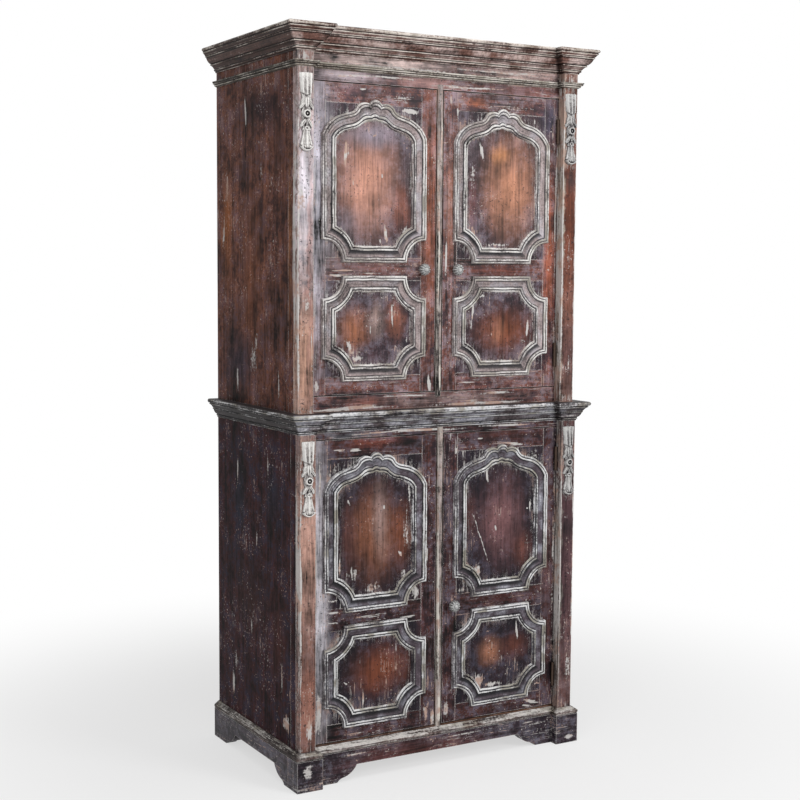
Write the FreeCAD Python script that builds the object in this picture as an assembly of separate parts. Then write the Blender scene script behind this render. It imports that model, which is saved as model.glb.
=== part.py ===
import FreeCAD, Part
import math
import os

# Trastero: a tall cupboard in two stages, with four framed doors under shaped panel mouldings.
# Millimetres. X to the right, Y to the back, Z up, doors on the -Y side.
# The origin is on the floor, under the middle of the bounding box.

# Plan of the case
body_width = 970.0
body_depth = 600.0
upper_setback = 16.0

# Heights, from the floor up
plinth_height = 92.0
lower_floor_thickness = 26.0
lower_door_height = 900.0
lower_frieze_height = 19.0
waist_height = 60.0
upper_bottom_rail_height = 45.0
upper_door_height = 898.0
upper_frieze_height = 31.0
necking_height = 17.0
plain_band_height = 27.0
cornice_height = 73.0

# Case boards
pilaster_width = 50.0
pilaster_thickness = 28.5
post_depth = 33.5
side_thickness = 22.0
board_thickness = 20.0
back_thickness = 12.0
back_plank_count = 5
back_plank_gap = 0.6
shelf_thickness = 20.0
shelf_front_gap = 2.0
upper_shelf_count = 2
lower_shelf_count = 1
cleat_height = 30.0
cleat_thickness = 18.0
rail_tenon_length = 25.0
rail_tenon_thickness = 10.0
rail_shoulder_share = 0.17

# Mouldings that wrap the case
cornice_projection = 50.0
necking_projection = 15.0
waist_projection = 36.0
base_moulding_height = 22.0
base_projection = 18.0

# Plinth: an apron on bracket feet, with a block under each pilaster
plinth_projection = 17.0
plinth_thickness = 35.0
foot_block_overhang = 16.0
apron_clearance = 46.0
front_foot_reach = 128.0
front_foot_curve = 66.0
side_front_foot = 72.0
side_rear_foot = 95.0
side_foot_curve = 70.0
foot_toe_rise = 12.0
toe_run_share = 0.3
toe_bulge_share = 0.2
bracket_bulge_share = 0.1
plinth_back_thickness = 18.0

# Doors
door_thickness = 25.0
door_side_gap = 1.5
door_end_gap = 3.0
door_back_gap = 1.0
centre_gap = 26.0
panel_thickness = 16.0
tongue_thickness = 8.0
tongue_depth = 8.0
tenon_length = 30.0
tenon_shoulder = 10.0
fit_clearance = 0.2

# Centre post and its planted bead
centre_bead_width = 19.0
centre_bead_proud = 7.0
centre_bead_overlap = 13.0
centre_flange_width = 64.0
centre_flange_thickness = 18.0
centre_lap = 30.0

# Shaped mouldings planted round the panels
side_margin = 36.0
bottom_margin = 38.0
crest_margin = 42.0
middle_gap = 38.0
frame_lap = 14.0
low_ring_height = 309.0
ring_band = 49.0
ring_proud = 11.0
notch_radius = 60.0
notch_ear = 6.0

# Crest of the tall panels: angles in degrees, shares of the panel's half width
shoulder_radius_share = 0.571
shoulder_start_angle = 68.0
shoulder_end_angle = 15.0
ramp_share = 0.154
ogee_radius_share = 0.171
ogee_outer_angle = 70.0
ogee_inner_angle = 40.0
lobe_half_share = 0.114
lobe_rise_share = 0.047
lobe_bulge_share = 0.04
crown_rise_share = 0.074
# The crest gets plainer towards the inside of the band, by these shares of the inset
lobe_narrow_share = 0.2
lobe_fall_share = 1.02
lobe_flatten_share = 0.75

# Sections as shares: distance out, distance down or in, and the rise of an arc's middle
cornice_section_shares = (
    (0, 0), (0.95, 0), (0.95, 0.12, 0.05), (0.92, 0.12), (0.92, 0.16), (0.78, 0.29),
    (0.78, 0.34), (0.7, 0.34), (0.4, 0.63, 0.06), (0.4, 0.69), (0.34, 0.69),
    (0.16, 0.85, -0.04), (0.2, 0.87), (0.08, 0.93), (0.08, 1), (0, 1))
necking_section_shares = (
    (0, 0), (1, 0), (1, 0.16), (0.8, 0.5, 0.08), (0.55, 0.5), (0.3, 0.88, 0.08), (0.2, 0.88),
    (0.2, 1), (0, 1))
waist_section_shares = (
    (0, 0), (0.9, 0), (0.9, 0.2, 0.1), (0.84, 0.2), (0.84, 0.26), (0.5, 0.5, -0.06),
    (0.5, 0.57), (0.42, 0.57), (0.14, 0.84, 0.05), (0.14, 0.93), (0.08, 0.93), (0.08, 1), (0, 1))
base_section_shares = (
    (0, 0), (0.16, 0), (0.34, 0.16), (0.42, 0.12), (0.62, 0.3), (0.7, 0.26), (0.9, 0.45),
    (0.9, 1, 0.1), (0, 1))
# Section of a panel moulding from its outer edge in: share of the band, share of its height
ring_section_shares = ((0, 0), (0, 0.72), (0.12, 1), (0.58, 0.3), (0.8, 0.56), (1, 0))

# Butt hinges
hinge_length = 76.0
hinge_end_distance = 100.0
knuckle_radius = 5.0
pin_radius = 2.0
pin_clearance = 0.05
pin_cover = 4.0
knuckle_gap = 0.3
leaf_thickness = 1.5
leaf_width = 20.0
leaf_gap = 0.2
leaf_overlap = 0.5

# Fluted knobs
knob_radius = 18.0
knob_depth = 22.0
knob_stem_radius = 8.0
knob_stem_length = 8.0
knob_flute_count = 12
knob_flute_share = 0.9
upper_knob_inset = 46.0
lower_knob_inset = 35.0
# Girth of the head from the stem outwards: share of the depth, share of the radius
knob_girth_shares = ((0, 0.6), (0.25, 0.95), (0.55, 1), (0.85, 0.8), (1, 0.45))

# Carved drops on the pilasters
carving_width = 44.0
carving_length = 218.0
carving_ground = 4.0
carving_proud = 15.0
carving_top_gap = 18.0
# Parts of a drop down its length: distance from the top as a share of the length,
# half width as a share of the drop's half width, height as a share of how far it stands out
husk_shares = ((0, 0.95, 0.55), (0.12, 0.85, 0.8), (0.27, 0.5, 1))
swag_shares = ((0.29, 0.45, 0.5), (0.4, 0.7, 0.7), (0.46, 0.55, 0.5))
bell_shares = ((0.69, 0.28, 0.5), (0.82, 0.6, 0.7), (0.93, 0.95, 1), (1, 0.6, 0.5))
# Bosses: distance across, distance down, radius as a share of the half width, height
curl_shares = ((0.7, 0.42, 0.28, 0.8), (-0.7, 0.42, 0.28, 0.8))
leaf_shares = ((0.5, 0.63, 0.42, 0.7), (-0.5, 0.63, 0.42, 0.7))
rosette_shares = ((0, 0.52, 0.6, 0.9), (0, 0.52, 0.3, 1))
# Height of the ribs and hollows across a husk
flute_shares = ((-1, 0), (-0.95, 0.5), (-0.6, 0.9), (-0.3, 0.65), (0, 1),
                (0.3, 0.65), (0.6, 0.9), (0.95, 0.5), (1, 0))
boss_sides = 8
boss_top_share = 0.6

# Planes and sizes worked out from the above
cut_overrun = 1.0
half_width = body_width / 2
front_reach = max(waist_projection, cornice_projection - upper_setback, base_projection)
back_y = (body_depth + front_reach) / 2
opening_half = half_width - pilaster_width
inner_half = half_width - side_thickness
plank_front_y = back_y - back_thickness
lower_door_bottom = plinth_height + lower_floor_thickness + door_end_gap
waist_bottom = lower_door_bottom + lower_door_height + door_end_gap + lower_frieze_height
waist_top = waist_bottom + waist_height
upper_door_bottom = waist_top + upper_bottom_rail_height + door_end_gap
necking_bottom = upper_door_bottom + upper_door_height + door_end_gap + upper_frieze_height
necking_top = necking_bottom + necking_height
overall_height = necking_top + plain_band_height + cornice_height
case_top = overall_height - board_thickness
door_width = opening_half - door_side_gap - centre_gap / 2
door_middle_x = (centre_gap + door_width) / 2
panel_half = door_width / 2 - side_margin
stile_width = side_margin + frame_lap
hinge_axis_x = opening_half - knuckle_radius - leaf_overlap

SIDES = (("left", -1), ("right", 1))


class Stage:
    """One stage of the cupboard, with the planes and levels that its pieces share."""

    def __init__(self, name, pilaster_y, bottom, top, door_bottom, door_height):
        self.name = name
        self.bottom = bottom
        self.top = top
        self.pilaster_y = pilaster_y
        self.face_y = pilaster_y + pilaster_thickness
        self.rail_back_y = self.face_y + door_thickness + door_back_gap
        self.post_back_y = self.face_y + post_depth
        self.flange_back_y = self.rail_back_y + centre_flange_thickness
        self.shelf_front_y = max(self.flange_back_y, self.post_back_y) + shelf_front_gap
        self.hinge_y = self.face_y - knuckle_radius - knuckle_gap
        self.door_bottom = door_bottom
        self.door_top = door_bottom + door_height
        self.opening_bottom = door_bottom - door_end_gap
        self.opening_top = self.door_top + door_end_gap


lower = Stage("lower", back_y - body_depth, plinth_height, waist_top - board_thickness,
              lower_door_bottom, lower_door_height)
upper = Stage("upper", lower.pilaster_y + upper_setback, waist_top, case_top,
              upper_door_bottom, upper_door_height)


def vec(x, y, z):
    return FreeCAD.Vector(x, y, z)


def block(x0, x1, y0, y1, z0, z1):
    """A board between two corners."""
    return Part.makeBox(x1 - x0, y1 - y0, z1 - z0, vec(x0, y0, z0))


def on_side(shape, side):
    """A piece drawn for the right-hand side, on the side asked for."""
    if side > 0:
        return shape
    return shape.mirror(vec(0, 0, 0), vec(1, 0, 0))


def plate(points, z0, z1):
    """A flat board with the given plan outline."""
    return facet([vec(x, y, z0) for x, y in points]).extrude(vec(0, 0, z1 - z0))


def write(node, *solids):
    """Save one sub-part, made of one solid or of several alike."""
    shape = solids[0] if len(solids) == 1 else Part.makeCompound(list(solids))
    shape.exportStep(os.path.join("parts", node + ".step"))


def around(centre, radius, angle):
    """The point at an angle in radians on a circle."""
    return (centre[0] + radius * math.cos(angle), centre[1] + radius * math.sin(angle))


def bulge_middle(start, end, rise):
    """Middle of an arc that stands to the right of its chord by rise."""
    dx = end[0] - start[0]
    dz = end[1] - start[1]
    span = math.hypot(dx, dz)
    return ((start[0] + end[0]) / 2 + dz / span * rise, (start[1] + end[1]) / 2 - dx / span * rise)


class Path:
    """Lines and arcs drawn one after the other, put into space by a place function."""

    def __init__(self, start, place):
        self.at = start
        self.place = place
        self.edges = []

    def line(self, end):
        self.edges.append(Part.LineSegment(self.place(*self.at), self.place(*end)).toShape())
        self.at = end

    def arc(self, middle, end):
        curve = Part.Arc(self.place(*self.at), self.place(*middle), self.place(*end))
        self.edges.append(curve.toShape())
        self.at = end

    def bulge(self, end, rise):
        """An arc whose middle stands to the right of its chord by rise."""
        self.arc(bulge_middle(self.at, end, rise), end)

    def wire(self):
        return Part.Wire(self.edges)


def solid_of(faces):
    """A solid from the faces that enclose it."""
    shell = Part.makeShell(faces)
    shell.sewShape()
    solid = Part.makeSolid(shell)
    if solid.Volume < 0:
        solid.reverse()
    return solid


def strips(rings):
    """The faces that run straight from each ring of edges to the next."""
    return [Part.makeRuledSurface(edge, next_edge)
            for ring, next_ring in zip(rings, rings[1:])
            for edge, next_edge in zip(ring, next_ring)]


def facet(corners):
    return Part.Face(Part.makePolygon(corners + corners[:1]))


def skin(rings):
    """A solid with flat facets from each ring of corners to the next, closed at both ends."""
    faces = [facet(rings[0]), facet(rings[-1])]
    for ring, next_ring in zip(rings, rings[1:]):
        for index in range(len(ring)):
            faces.append(facet([ring[index - 1], ring[index], next_ring[index]]))
            faces.append(facet([ring[index - 1], next_ring[index], next_ring[index - 1]]))
    return solid_of(faces)


# Mouldings that wrap the case

def case_line(stage):
    """Plan of the case face, from the back left corner round the front to the back right."""
    left = [(-half_width, back_y), (-half_width, stage.pilaster_y),
            (-opening_half, stage.pilaster_y), (-opening_half, stage.face_y)]
    return left + [(-x, y) for x, y in reversed(left)]


def wrapped_moulding(stage, top, projection, height, section_shares):
    """Sweep a section round the case, breaking out over the pilasters, in mitred lengths."""
    def place(out, down):
        return vec(-half_width - out * projection, back_y, top - down * height)

    start = section_shares[0]
    section = Path(start, place)
    for step in section_shares[1:]:
        if len(step) == 2:
            section.line(step)
        else:
            section.bulge(step[:2], step[2])
    section.line(start)
    line = Part.makePolygon([vec(x, y, top) for x, y in case_line(stage)])
    sweep = Part.BRepOffsetAPI.MakePipeShell(line)
    sweep.setTransitionMode(1)
    sweep.add(section.wire(), False, False)
    sweep.build()
    sweep.makeSolid()
    return mitred_lengths(sweep.shape(), stage)


def mitred_lengths(ring, stage):
    """A moulding as its centre, its breaks over the pilasters and its sides, mitred."""
    low = ring.BoundBox.ZMin - cut_overrun
    high = ring.BoundBox.ZMax + cut_overrun
    reach = opening_half / 2
    front_region = plate([(0, stage.pilaster_y + half_width),
                          (half_width + reach, stage.pilaster_y - reach),
                          (-half_width - reach, stage.pilaster_y - reach)], low, high)
    centre_region = plate([(-opening_half, stage.face_y), (opening_half, stage.face_y),
                           (opening_half - reach, stage.face_y - reach),
                           (reach - opening_half, stage.face_y - reach)], low, high)
    front = ring.common(front_region)
    return (front.common(centre_region).Solids + front.cut(centre_region).Solids
            + ring.cut(front_region).Solids)


def write_mouldings():
    write("base_moulding", *wrapped_moulding(
        lower, plinth_height + base_moulding_height, base_projection, base_moulding_height,
        base_section_shares))
    write("waist_moulding", *wrapped_moulding(
        lower, waist_top, waist_projection, waist_height, waist_section_shares))
    write("necking_moulding", *wrapped_moulding(
        upper, necking_top, necking_projection, necking_height, necking_section_shares))
    write("cornice", *wrapped_moulding(
        upper, overall_height, cornice_projection, cornice_height, cornice_section_shares))


# Plinth

def apron_outline(length, start_foot, end_foot, curve, place):
    """Outline of a plinth board: a foot at each end, joined by an apron with ogee brackets."""
    path = Path((0, 0), place)
    path.line((0, plinth_height))
    path.line((length, plinth_height))
    path.line((length, 0))
    for foot, way in ((end_foot, -1), (start_foot, 1)):
        toe = (length - foot if way < 0 else foot, 0)
        knee = (toe[0] + way * curve * toe_run_share, foot_toe_rise)
        top = (toe[0] + way * curve, apron_clearance)
        if way < 0:
            path.line(toe)
            path.bulge(knee, foot_toe_rise * toe_bulge_share)
            path.bulge(top, -curve * bracket_bulge_share)
            path.line((start_foot + curve, apron_clearance))
        else:
            path.bulge(knee, -curve * bracket_bulge_share)
            path.bulge(toe, foot_toe_rise * toe_bulge_share)
            path.line((0, 0))
    return path.wire()


def plinth_front():
    """Front apron, set back between the blocks under the pilasters."""
    half = half_width + plinth_projection
    y = lower.face_y - plinth_projection
    foot = front_foot_reach + plinth_projection
    outline = apron_outline(2 * half, foot, foot, front_foot_curve,
                            lambda u, z: vec(u - half, y, z))
    return Part.Face(outline).extrude(vec(0, plinth_thickness, 0))


def plinth_side(side):
    """Side apron, butted behind the front one and running to the back."""
    front_y = lower.face_y - plinth_projection + plinth_thickness
    front_foot = lower.pilaster_y + side_front_foot - front_y
    x = half_width + plinth_projection - plinth_thickness
    outline = apron_outline(back_y - front_y, front_foot, side_rear_foot, side_foot_curve,
                            lambda u, z: vec(x, front_y + u, z))
    return on_side(Part.Face(outline).extrude(vec(plinth_thickness, 0, 0)), side)


def plinth_back():
    """Plain board across the back, clear of the floor."""
    half = half_width + plinth_projection - plinth_thickness
    return block(-half, half, back_y - plinth_back_thickness, back_y,
                 apron_clearance, plinth_height)


def foot_block(side):
    """Block that carries the plinth out under a pilaster."""
    return on_side(block(opening_half - foot_block_overhang, half_width + plinth_projection,
                         lower.pilaster_y - plinth_projection, lower.face_y - plinth_projection,
                         0, plinth_height), side)


def write_plinth():
    write("plinth_front", plinth_front())
    write("plinth_back", plinth_back())
    write("foot_blocks", *[foot_block(side) for _, side in SIDES])
    for name, side in SIDES:
        write("plinth_side_" + name, plinth_side(side))


# Case

def rail_levels(stage):
    """Bottom and top of each rail across the front of a stage."""
    levels = [(stage.opening_top, stage.top)]
    if stage is upper:
        levels.append((stage.bottom, stage.opening_bottom))
    return levels


def rail_tenon(stage, bottom, top, clearance):
    """The tenon at the right-hand end of a rail; its mortise is longer by the clearance."""
    middle_y = (stage.face_y + stage.rail_back_y) / 2
    shoulder = (top - bottom) * rail_shoulder_share
    return block(opening_half - cut_overrun * (clearance > 0),
                 opening_half + rail_tenon_length + clearance,
                 middle_y - rail_tenon_thickness / 2, middle_y + rail_tenon_thickness / 2,
                 bottom + shoulder, top - shoulder)


def case_rail(stage, bottom, top):
    """A rail between the posts, tenoned into them."""
    rail = block(-opening_half, opening_half, stage.face_y, stage.rail_back_y, bottom, top)
    tenon = rail_tenon(stage, bottom, top, 0)
    return rail.fuse([tenon, on_side(tenon, -1)]).removeSplitter()


def post(stage, side):
    """Corner post behind the pilaster, mortised for the rails and let in for the hinges."""
    shape = block(opening_half, half_width, stage.face_y, stage.post_back_y,
                  stage.bottom, stage.top)
    for bottom, top in rail_levels(stage):
        shape = shape.cut(rail_tenon(stage, bottom, top, fit_clearance))
    for level in hinge_levels(stage):
        shape = shape.cut(fixed_leaf_plates(stage, level))
    return on_side(shape, side)


def pilaster(stage, side):
    """Flat pilaster planted on the post."""
    shape = block(opening_half, half_width, stage.pilaster_y, stage.face_y,
                  stage.bottom, stage.top)
    for level in hinge_levels(stage):
        shape = shape.cut(fixed_leaf_plates(stage, level))
    return on_side(shape, side)


def case_side(stage, side):
    return on_side(block(inner_half, half_width, stage.post_back_y, back_y,
                         stage.bottom, stage.top), side)


def back_planks(stage, bottom):
    """Upright planks between the sides."""
    pitch = (2 * inner_half + back_plank_gap) / back_plank_count
    planks = []
    for index in range(back_plank_count):
        start = index * pitch - inner_half
        planks.append(block(start, start + pitch - back_plank_gap, plank_front_y, back_y,
                            bottom, stage.top))
    return planks


def shelf_levels(stage, count, floor_level):
    """Undersides of evenly spaced shelves."""
    clear_height = (stage.opening_top - floor_level - count * shelf_thickness) / (count + 1)
    return [floor_level + index * (clear_height + shelf_thickness) - shelf_thickness
            for index in range(1, count + 1)]


def shelves(stage, levels):
    return [block(-inner_half, inner_half, stage.shelf_front_y, plank_front_y,
                  level, level + shelf_thickness) for level in levels]


def cleats(stage, levels):
    """Strips on both sides that carry the shelves."""
    strip = [block(inner_half - cleat_thickness, inner_half, stage.shelf_front_y, plank_front_y,
                   level - cleat_height, level) for level in levels]
    return strip + [on_side(piece, -1) for piece in strip]


def centre_post(stage):
    """Upright between the doors: a web as wide as the bead on a wider flange that stops them."""
    lap = centre_lap if stage is upper else 0
    web_half = centre_bead_width / 2
    web = block(-web_half, web_half, stage.face_y, stage.rail_back_y,
                stage.opening_bottom, stage.opening_top)
    flange = block(-centre_flange_width / 2, centre_flange_width / 2,
                   stage.rail_back_y, stage.flange_back_y,
                   stage.opening_bottom - lap, stage.opening_top + centre_lap)
    return web.fuse(flange).removeSplitter()


def centre_bead(stage):
    """Half-round strip planted over the centre post and the rails."""
    half = centre_bead_width / 2
    if stage is upper:
        bottom = stage.opening_bottom - centre_bead_overlap
        top = stage.opening_top + centre_bead_overlap
    else:
        bottom = plinth_height + base_moulding_height
        top = waist_bottom
    section = Path((-half, 0), lambda x, proud: vec(x, stage.face_y - proud, bottom))
    section.arc((0, centre_bead_proud), (half, 0))
    section.line((-half, 0))
    return Part.Face(section.wire()).extrude(vec(0, 0, top - bottom))


def bottom_board():
    """Floor of the lower stage, standing on the plinth, narrow between the posts."""
    top = lower.opening_bottom
    half_plan = [(opening_half, lower.face_y), (opening_half, lower.post_back_y),
                 (inner_half, lower.post_back_y), (inner_half, plank_front_y)]
    plan = half_plan + [(-x, y) for x, y in reversed(half_plan)]
    return plate(plan, plinth_height, top)


def waist_board():
    """Board between the stages, running out under the upper pilasters."""
    half_plan = [(opening_half, lower.face_y), (opening_half, lower.pilaster_y),
                 (half_width, lower.pilaster_y), (half_width, back_y)]
    plan = half_plan + [(-x, y) for x, y in reversed(half_plan)]
    return plate(plan, lower.top, waist_top)


def top_board():
    """Roof of the case, inside the cornice."""
    half_plan = [(opening_half, upper.face_y), (opening_half, upper.pilaster_y),
                 (half_width, upper.pilaster_y), (half_width, back_y)]
    plan = half_plan + [(-x, y) for x, y in reversed(half_plan)]
    return plate(plan, case_top, overall_height)


def write_case():
    write("lower_bottom_board", bottom_board())
    write("waist_board", waist_board())
    write("upper_top_board", top_board())
    lower_shelves = shelf_levels(lower, lower_shelf_count, lower.opening_bottom)
    upper_shelves = shelf_levels(upper, upper_shelf_count, waist_top)
    write("lower_shelf", *shelves(lower, lower_shelves))
    write("upper_shelves", *shelves(upper, upper_shelves))
    write("shelf_cleats", *(cleats(lower, lower_shelves) + cleats(upper, upper_shelves)))
    for stage in (lower, upper):
        write(stage.name + "_posts", *[post(stage, side) for _, side in SIDES])
        write(stage.name + "_pilasters", *[pilaster(stage, side) for _, side in SIDES])
        write(stage.name + "_back_planks", *back_planks(stage, stage.bottom))
        write(stage.name + "_centre_post", centre_post(stage))
        write(stage.name + "_centre_bead", centre_bead(stage))
        write(stage.name + "_carvings", *[carving(stage, side) for _, side in SIDES])
        for rail_name, levels in zip(("_top_rail", "_bottom_rail"), rail_levels(stage)):
            write(stage.name + rail_name, case_rail(stage, *levels))
        for side_name, side in SIDES:
            write(stage.name + "_side_" + side_name, case_side(stage, side))


# Carved drops

def carving(stage, side):
    """A drop of husk, swag, rosette, leaves and bell on a pilaster, worked from one piece."""
    x = opening_half + pilaster_width / 2
    half = carving_width / 2
    top = (necking_bottom if stage is upper else waist_bottom) - carving_top_gap

    def fluted(steps):
        """A ribbed body that runs down the drop through the given sections."""
        sections = []
        for down, wide, proud in steps:
            sections.append([vec(x + across * half * wide,
                                 stage.pilaster_y - rise * proud * carving_proud,
                                 top - down * carving_length) for across, rise in flute_shares])
        return skin(sections)

    def boss(across, down, radius, proud):
        """A low many-sided knop."""
        centre = (x + across * half, top - down * carving_length)
        rings = []
        for share, rise in ((1, 0), (1, proud / 2), (boss_top_share, proud)):
            corners = []
            for index in range(boss_sides):
                u, z = around(centre, radius * half * share, 2 * math.pi * index / boss_sides)
                corners.append(vec(u, stage.pilaster_y - rise * carving_proud, z))
            rings.append(corners)
        return skin(rings)

    ground = block(x - half / 2, x + half / 2, stage.pilaster_y - carving_ground,
                   stage.pilaster_y, top - carving_length * bell_shares[1][0], top)
    parts = [fluted(steps) for steps in (husk_shares, swag_shares, bell_shares)]
    parts += [boss(*shares) for shares in curl_shares + leaf_shares + rosette_shares]
    return on_side(ground.fuse(parts).removeSplitter(), side)


# Shaped outlines of the panels

def low_corner(inset):
    """The hollow corner at the lower right of a panel outline, as start, middle and end."""
    centre = (panel_half - notch_ear, notch_ear)
    radius = notch_radius + inset
    step = inset - notch_ear
    run = math.sqrt(radius ** 2 - step ** 2)
    return ((centre[0] - run, inset), around(centre, radius, math.pi * 3 / 4),
            (panel_half - inset, notch_ear + run))


def low_moves(inset):
    """Right half of the outline with four hollow corners, from the bottom up."""
    start, middle, end = low_corner(inset)

    def flipped(point):
        return (point[0], low_ring_height - point[1])

    return [((0, inset),), (start,), (middle, end), (flipped(end),),
            (flipped(middle), flipped(start)), ((0, low_ring_height - inset),)]


def crest_moves(inset, height):
    """Right half of the crested outline, from the bottom up to the crown."""
    start_angle = math.radians(shoulder_start_angle)
    end_angle = math.radians(shoulder_end_angle)
    radius = shoulder_radius_share * panel_half
    ogee_radius = ogee_radius_share * panel_half
    ramp = ramp_share * panel_half
    plain = inset / ring_band

    shoulder = (panel_half - radius * math.sin(start_angle), -radius * math.cos(start_angle))
    ramp_start = around(shoulder, radius, math.pi / 2 - end_angle)
    ramp_end = (ramp_start[0] - ramp * math.cos(end_angle),
                ramp_start[1] + ramp * math.sin(end_angle))
    ogee = around(ramp_end, ogee_radius, math.pi / 2 - end_angle)
    outer_ogee_end = around(ogee, ogee_radius, math.pi * 3 / 2 - math.radians(ogee_outer_angle))
    crown_foot = outer_ogee_end[1] + lobe_rise_share * panel_half
    rise = height - crown_foot - crown_rise_share * panel_half

    turn = math.radians(ogee_outer_angle - (ogee_outer_angle - ogee_inner_angle) * plain)
    flatness = 1 - lobe_flatten_share * plain
    ogee_end = around(ogee, ogee_radius + inset, math.pi * 3 / 2 - turn)
    lobe_end = (lobe_half_share * panel_half - lobe_narrow_share * inset,
                crown_foot - lobe_fall_share * inset)
    crown_rise = crown_rise_share * panel_half * flatness
    crown_radius = (lobe_end[0] ** 2 + crown_rise ** 2) / (2 * crown_rise)
    crown = (0, lobe_end[1] + crown_rise)
    crown_centre = (0, crown[1] - crown_radius)
    crown_angle = math.acos(lobe_end[0] / crown_radius)
    if lobe_end[1] < crown_centre[1]:
        crown_angle = -crown_angle

    radius_in = radius - inset
    side_angle = math.acos((panel_half - inset - shoulder[0]) / radius_in)
    half_ogee = math.pi * 3 / 2 - (end_angle + turn) / 2
    corner_start, corner_middle, corner_end = low_corner(inset)
    lifted = [
        (around(shoulder, radius_in, side_angle),),
        (around(shoulder, radius_in, (side_angle + math.pi / 2 - end_angle) / 2),
         around(shoulder, radius_in, math.pi / 2 - end_angle)),
        (around(ogee, ogee_radius + inset, math.pi * 3 / 2 - end_angle),),
        (around(ogee, ogee_radius + inset, half_ogee), ogee_end),
        (bulge_middle(ogee_end, lobe_end, lobe_bulge_share * panel_half * flatness), lobe_end),
        (around(crown_centre, crown_radius, (crown_angle + math.pi / 2) / 2), crown),
    ]
    return ([((0, inset),), (corner_start,), (corner_middle, corner_end)]
            + [tuple((u, z + rise) for u, z in move) for move in lifted])


def ring_edges(moves, place):
    """Edges of a symmetric outline: up the right half, then back down its mirror image."""
    path = Path(moves[0][0], place)
    for move in moves[1:]:
        draw(path, move)
    for move, earlier in zip(reversed(moves[1:]), reversed(moves[:-1])):
        draw(path, [(-u, z) for u, z in move[:-1] + earlier[-1:]])
    return path.edges


def draw(path, move):
    if len(move) == 1:
        path.line(move[0])
    else:
        path.arc(move[0], move[1])


# Doors

class Door:
    """One door: where it hangs and how its height is shared out."""

    def __init__(self, stage, side_name, side):
        self.stage = stage
        self.side = side
        self.name = stage.name + "_" + side_name + "_door"
        self.middle_x = side * door_middle_x
        self.bottom = stage.door_bottom
        self.top = stage.door_top
        self.low_ring_bottom = self.bottom + bottom_margin
        self.low_ring_top = self.low_ring_bottom + low_ring_height
        self.tall_ring_bottom = self.low_ring_top + middle_gap
        self.tall_ring_top = self.top - crest_margin
        self.rails = ((self.bottom, self.low_ring_bottom + frame_lap),
                      (self.low_ring_top - frame_lap, self.tall_ring_bottom + frame_lap),
                      (self.tall_ring_top - frame_lap, self.top))

    def place(self, ring_bottom, proud):
        """Puts a panel outline in front of the door."""
        return lambda u, z: vec(self.middle_x + u, self.stage.face_y - proud, ring_bottom + z)


def groove_band(door):
    """Front and back of the grooves, tongues and tenons of a door."""
    front = door.stage.face_y + (panel_thickness - tongue_thickness) / 2
    return front, front + tongue_thickness


def tenon(door, bottom, top, way, clearance):
    """A door rail's tenon towards way; its mortise is longer by the clearance."""
    front, back = groove_band(door)
    inner = door_width / 2 - stile_width
    near = inner - cut_overrun * (clearance > 0)
    far = inner + tenon_length + clearance
    ends = sorted((door.middle_x + way * near, door.middle_x + way * far))
    return block(ends[0], ends[1], front, back, bottom + tenon_shoulder, top - tenon_shoulder)


def stile(door, way):
    """An upright of the door frame, grooved for the panels and mortised for the rails."""
    front, back = groove_band(door)
    outer = door_width / 2
    inner = outer - stile_width
    groove = inner + tongue_depth + fit_clearance
    ends = sorted((door.middle_x + way * inner, door.middle_x + way * outer))
    channel = sorted((door.middle_x + way * inner, door.middle_x + way * groove))
    shape = block(ends[0], ends[1], door.stage.face_y, door.stage.face_y + door_thickness,
                  door.bottom, door.top)
    cuts = [block(channel[0], channel[1], front, back,
                  door.rails[0][0] + tenon_shoulder, door.rails[2][1] - tenon_shoulder)]
    cuts += [tenon(door, bottom, top, way, fit_clearance) for bottom, top in door.rails]
    if way == door.side:
        cuts += [on_side(door_leaf_plates(door.stage, level)[0], door.side)
                 for level in hinge_levels(door.stage)]
    return shape.cut(cuts)


def door_rail(door, index):
    """A cross member of the door frame, tenoned at both ends and grooved for the panels."""
    front, back = groove_band(door)
    bottom, top = door.rails[index]
    half = door_width / 2 - stile_width
    depth = tongue_depth + fit_clearance
    shape = block(door.middle_x - half, door.middle_x + half, door.stage.face_y,
                  door.stage.face_y + door_thickness, bottom, top)
    shape = shape.fuse([tenon(door, bottom, top, way, 0) for way in (-1, 1)]).removeSplitter()
    if index < 2:
        shape = shape.cut(block(door.middle_x - half, door.middle_x + half, front, back,
                                top - depth, top))
    if index > 0:
        shape = shape.cut(block(door.middle_x - half, door.middle_x + half, front, back,
                                bottom, bottom + depth))
    return shape


def panel(door, index):
    """A flat panel board with its tongue in the grooves of the frame."""
    front, back = groove_band(door)
    half = door_width / 2 - stile_width
    low = door.rails[index][1]
    high = door.rails[index + 1][0]
    board = block(door.middle_x - half + fit_clearance, door.middle_x + half - fit_clearance,
                  door.stage.face_y, door.stage.face_y + panel_thickness,
                  low + fit_clearance, high - fit_clearance)
    tongue = block(door.middle_x - half - tongue_depth, door.middle_x + half + tongue_depth,
                   front, back, low - tongue_depth, high + tongue_depth)
    return board.fuse(tongue).removeSplitter()


def panel_moulding(door, moves_at, ring_bottom):
    """The shaped moulding round a panel, with a bead outside, a hollow and an inner bead."""
    rings = [ring_edges(moves_at(share * ring_band), door.place(ring_bottom, rise * ring_proud))
             for share, rise in ring_section_shares]
    lip = vec(0, -ring_section_shares[1][1] * ring_proud, 0)
    edge_faces = [edge.extrude(lip) for edge in rings[0]]
    back = Part.makeFace([Part.Wire(rings[0]), Part.Wire(rings[-1])], "Part::FaceMakerCheese")
    return solid_of([back] + edge_faces + strips(rings[1:]))


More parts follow.
